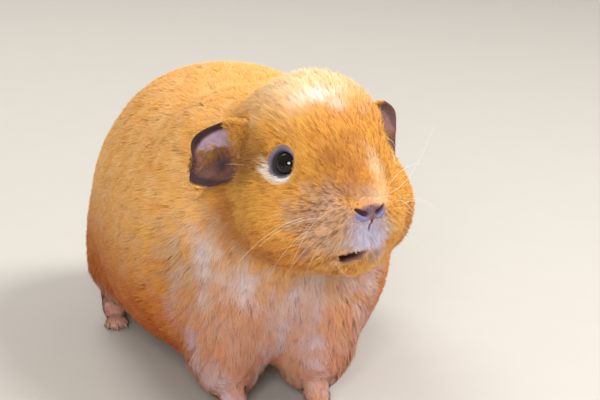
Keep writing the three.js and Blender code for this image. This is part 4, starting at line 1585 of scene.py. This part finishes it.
def build_claws(foot):
    """The smooth curved claws of one foot, from the CAD's claws."""
    whole = bmesh.new()
    nodes = [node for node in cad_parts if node.startswith(f"{foot}_claw_")]
    for node in nodes:
        join_into(whole, node_shape(node))
    for face in whole.faces:
        face.smooth = True
    piece = new_piece(f"claws_{foot}", whole)
    apply_modifier(piece, "SUBSURF", levels=1, render_levels=1)
    return piece, nodes


# each whisker's root and the way to its tip in the face's frame, on the left side, and how far it bows up
WHISKERS = [
    ((16.5, 20.5, -15.5), (31, -12, -19), 5),
    ((15.0, 21.5, -19), (21, -14, -25), 5),
    ((12.5, 24, -17), (26, -10, -9), 4),
    ((10.5, 25, -15), (19, -6, -19), 7),
    ((10.5, 24.5, -21), (12, -7, -18), 4),
    ((13.5, 22, -23), (15, -9, -17), 3),
    ((34.5, -27, -4), (-8, 20, 1), 1),
]
LEFT_WHISKERS = [  # those that stand up from the left side alone, and one that hangs under the chin
    ((9.5, 24, -11), (27, -6, 21), -6),
    ((10.5, 22.5, -9.5), (25, -10, 3), 4),
    ((12.5, 17, 6), (6.5, 1, -6), 5),
    ((-13.6, 20, -29), (11, 2, -12), -4),
]
WHISKER_RADIUS = 0.07 * MM
WHISKER_STEPS = 10


def whisker(root, way, bow):
    """One whisker: a long thin cone, bowed as an arc."""
    shape = bmesh.new()
    thick, thin = WHISKER_RADIUS, WHISKER_RADIUS * 0.3
    bmesh.ops.create_cone(shape, cap_ends=True, segments=5, radius1=thick, radius2=thin, depth=way.length)
    for cut in range(1, WHISKER_STEPS):
        height = way.length * (cut / WHISKER_STEPS - 0.5)
        geometry = shape.verts[:] + shape.edges[:] + shape.faces[:]
        bmesh.ops.bisect_plane(shape, geom=geometry, plane_co=(0, 0, height), plane_no=(0, 0, 1))
    turn = way.to_track_quat("Z", "Y").to_matrix()
    for vertex in shape.verts:
        part = vertex.co.z / way.length + 0.5
        vertex.co = root + turn @ (vertex.co + Vector((0, 0, way.length / 2)))
        vertex.co += UP * (bow * 4 * part * (1 - part))
    return shape


def build_whiskers():
    """All whiskers and brow hairs, joined."""
    rng = np.random.default_rng(7)
    whole = bmesh.new()
    share = []
    planned = [(sign, line) for sign in SIDES.values() for line in WHISKERS]
    planned += [(1, line) for line in LEFT_WHISKERS]
    for sign, (start, way, bow) in planned:
        side = np.array((sign, 1, 1))
        vary = 1 + rng.normal(0, 0.06, 3)
        root = from_face(*(np.array(start) * side))
        tip = from_face(*((np.array(start) + np.array(way) * vary) * side))
        hair = whisker(root, tip - root, bow * MM)
        share += [((vertex.co - root).length / (tip - root).length) for vertex in hair.verts]
        join_into(whole, hair)
    for face in whole.faces:
        face.smooth = True
    piece = new_piece("whiskers", whole)
    add_attribute(piece.data, "strand", np.array(share)[:, None])
    return piece


# ---------------------------------------------------------------- operators
class GUINEA_OT_skin(bpy.types.Operator):
    """Builds the one skin from the nose to the toes, and joins the ears to it"""

    bl_idname = "guinea.skin"
    bl_label = "Skin"

    def execute(self, context):
        skin = build_skin()
        add_ears(skin)
        points = places(skin.data)
        add_marks(skin.data, marks(points))
        add_attribute(skin.data, "tones", skin_tones(points))
        add_attribute(skin.data, "shades", skin_shades(points))
        skin.data.polygons.foreach_set("use_smooth", np.ones(len(skin.data.polygons), bool))
        skin.data.materials.clear()
        skin.data.materials.append(skin_material())
        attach(skin, "root")
        ears = [f"ear_{side}" for side in SIDES]
        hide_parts("trunk", "neck", "head", "lower_jaw", "nose", *ears, *LEGS, *FEET)
        return {"FINISHED"}


class GUINEA_OT_coat(bpy.types.Operator):
    """Grows the coat on the skin, in pieces that follow the lie of the hair"""

    bl_idname = "guinea.coat"
    bl_label = "Coat"

    def execute(self, context):
        material = coat_material()
        for piece in build_coat(bpy.data.objects["skin"]):
            piece.data.materials.append(material)
            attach(piece, "root")
        return {"FINISHED"}


class GUINEA_OT_eyes(bpy.types.Operator):
    """Builds the two wet eyeballs"""

    bl_idname = "guinea.eyes"
    bl_label = "Eyes"

    def execute(self, context):
        material = eye_material()
        for side in SIDES:
            eye = build_eye(side)
            eye.data.materials.append(material)
            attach(eye, "root")
            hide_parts(f"eye_{side}")
        return {"FINISHED"}


class GUINEA_OT_claws(bpy.types.Operator):
    """Builds the claws of each foot"""

    bl_idname = "guinea.claws"
    bl_label = "Claws"

    def execute(self, context):
        material = claw_material()
        for foot in FEET:
            piece, nodes = build_claws(foot)
            piece.data.materials.clear()
            piece.data.materials.append(material)
            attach(piece, "root")
            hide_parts(*nodes)
        return {"FINISHED"}


class GUINEA_OT_whiskers(bpy.types.Operator):
    """Builds the whiskers and brow hairs"""

    bl_idname = "guinea.whiskers"
    bl_label = "Whiskers"

    def execute(self, context):
        piece = build_whiskers()
        piece.data.materials.append(whisker_material())
        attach(piece, "root")
        return {"FINISHED"}


LAMPS = (  # name, place, what it points at and width in metres
    ("key", (0.75, -0.45, 1.15), FACE, 0.5),
    ("fill", (-0.4, -1.35, 0.65), FACE, 0.5),
    ("rim", (-0.3, 1.0, 1.2), (0, 0, 0.1), 0.8),
)
LOOK_AT = FACE + Vector((-1.73, 10.8, -16.1)) * MM  # what the camera turns round


def add_lamp(name, place, aim, size, power):
    """One soft round lamp."""
    lamp = bpy.data.lights.new(name, "AREA")
    lamp.shape = "DISK"
    lamp.size = size
    lamp.energy = power
    holder = bpy.data.objects.new(name, lamp)
    holder.location = place
    holder.rotation_euler = (Vector(aim) - Vector(place)).to_track_quat("-Z", "Y").to_euler()
    bpy.context.scene.collection.objects.link(holder)


def cove(floor_radius, curve_radius):
    """A round floor that curves up into a wall, so that no horizon shows."""
    board = bmesh.new()
    steps = 16
    profile = [(0, 0), (floor_radius, 0)]
    for step in range(1, steps + 1):
        angle = math.pi / 2 * step / steps
        across = floor_radius + curve_radius * math.sin(angle)
        profile.append((across, curve_radius * (1 - math.cos(angle))))
    profile.append((floor_radius + curve_radius, curve_radius * 2))
    verts = [board.verts.new((across, 0, up)) for across, up in profile]
    edges = [board.edges.new(pair) for pair in zip(verts, verts[1:])]
    bmesh.ops.spin(
        board, geom=verts + edges, axis=(0, 0, 1), cent=(0, 0, 0), angle=2 * math.pi, steps=96, use_merge=True
    )
    bmesh.ops.remove_doubles(board, verts=board.verts, dist=0.01 * MM)
    bmesh.ops.recalc_face_normals(board, faces=board.faces)
    board.faces.ensure_lookup_table()
    if min(board.faces, key=lambda face: face.calc_center_median().length).normal.z < 0:
        bmesh.ops.reverse_faces(board, faces=board.faces)
    for face in board.faces:
        face.smooth = True
    return board


def add_camera():
    """The camera, on a sphere round the point that it looks at."""
    sizes = bpy.context.scene.guinea_stage
    turn, rise = math.radians(sizes.azimuth), math.radians(sizes.elevation)
    back = Vector((math.sin(turn) * math.cos(rise), -math.cos(turn) * math.cos(rise), math.sin(rise)))
    camera = bpy.data.cameras.new("camera")
    camera.lens = sizes.lens
    camera.shift_x = sizes.shift_x
    camera.shift_y = sizes.shift_y
    holder = bpy.data.objects.new("camera", camera)
    holder.location = LOOK_AT + back * sizes.distance
    holder.rotation_euler = back.to_track_quat("Z", "Y").to_euler()
    bpy.context.scene.collection.objects.link(holder)
    bpy.context.scene.camera = holder


def add_world():
    """A soft pale light from all round."""
    scene = bpy.context.scene
    world = bpy.data.worlds.new("studio")
    world.use_nodes = True
    background = world.node_tree.nodes["Background"]
    background.inputs[0].default_value = linear(scene.guinea_colours.studio)
    background.inputs[1].default_value = scene.guinea_stage.surround
    scene.world = world


class GUINEA_OT_stage(bpy.types.Operator):
    """Sets the floor, the lamps and the camera"""

    bl_idname = "guinea.stage"
    bl_label = "Stage"

    def execute(self, context):
        sizes = context.scene.guinea_stage
        floor = new_piece("floor", cove(sizes.floor_radius, sizes.cove_radius))
        floor.data.materials.append(floor_material())
        add_camera()
        for name, place, aim, size in LAMPS:
            add_lamp(name, place, aim, size, getattr(sizes, f"{name}_power"))
        add_world()
        context.scene.view_settings.view_transform = "Standard"
        return {"FINISHED"}


class GUINEA_PT_panel(bpy.types.Panel):
    """Lists what the add-on builds"""

    bl_idname = "GUINEA_PT_panel"
    bl_label = "Guinea Pig"
    bl_space_type = "VIEW_3D"
    bl_region_type = "UI"
    bl_category = "Guinea Pig"

    def draw(self, context):
        for step in STEPS:
            self.layout.operator(step.bl_idname)
        for name, group in SETTINGS.items():
            box = self.layout.box()
            for setting in group.__annotations__:
                box.prop(getattr(context.scene, name), setting)


STEPS = [GUINEA_OT_skin, GUINEA_OT_eyes, GUINEA_OT_claws, GUINEA_OT_coat, GUINEA_OT_whiskers, GUINEA_OT_stage]


def register():
    """Adds the settings, the operators and the panel."""
    for kind in (*SETTINGS.values(), *STEPS, GUINEA_PT_panel):
        bpy.utils.register_class(kind)
    for name, group in SETTINGS.items():
        setattr(bpy.types.Scene, name, PointerProperty(type=group))


def unregister():
    """Takes them away again."""
    for name in SETTINGS:
        delattr(bpy.types.Scene, name)
    for kind in (GUINEA_PT_panel, *reversed(STEPS), *SETTINGS.values()):
        bpy.utils.unregister_class(kind)


def main():
    """Builds everything in order."""
    register()
    bpy.ops.guinea.skin()
    bpy.ops.guinea.eyes()
    bpy.ops.guinea.claws()
    bpy.ops.guinea.coat()
    bpy.ops.guinea.whiskers()
    bpy.ops.guinea.stage()


if __name__ == "__main__":
    main()
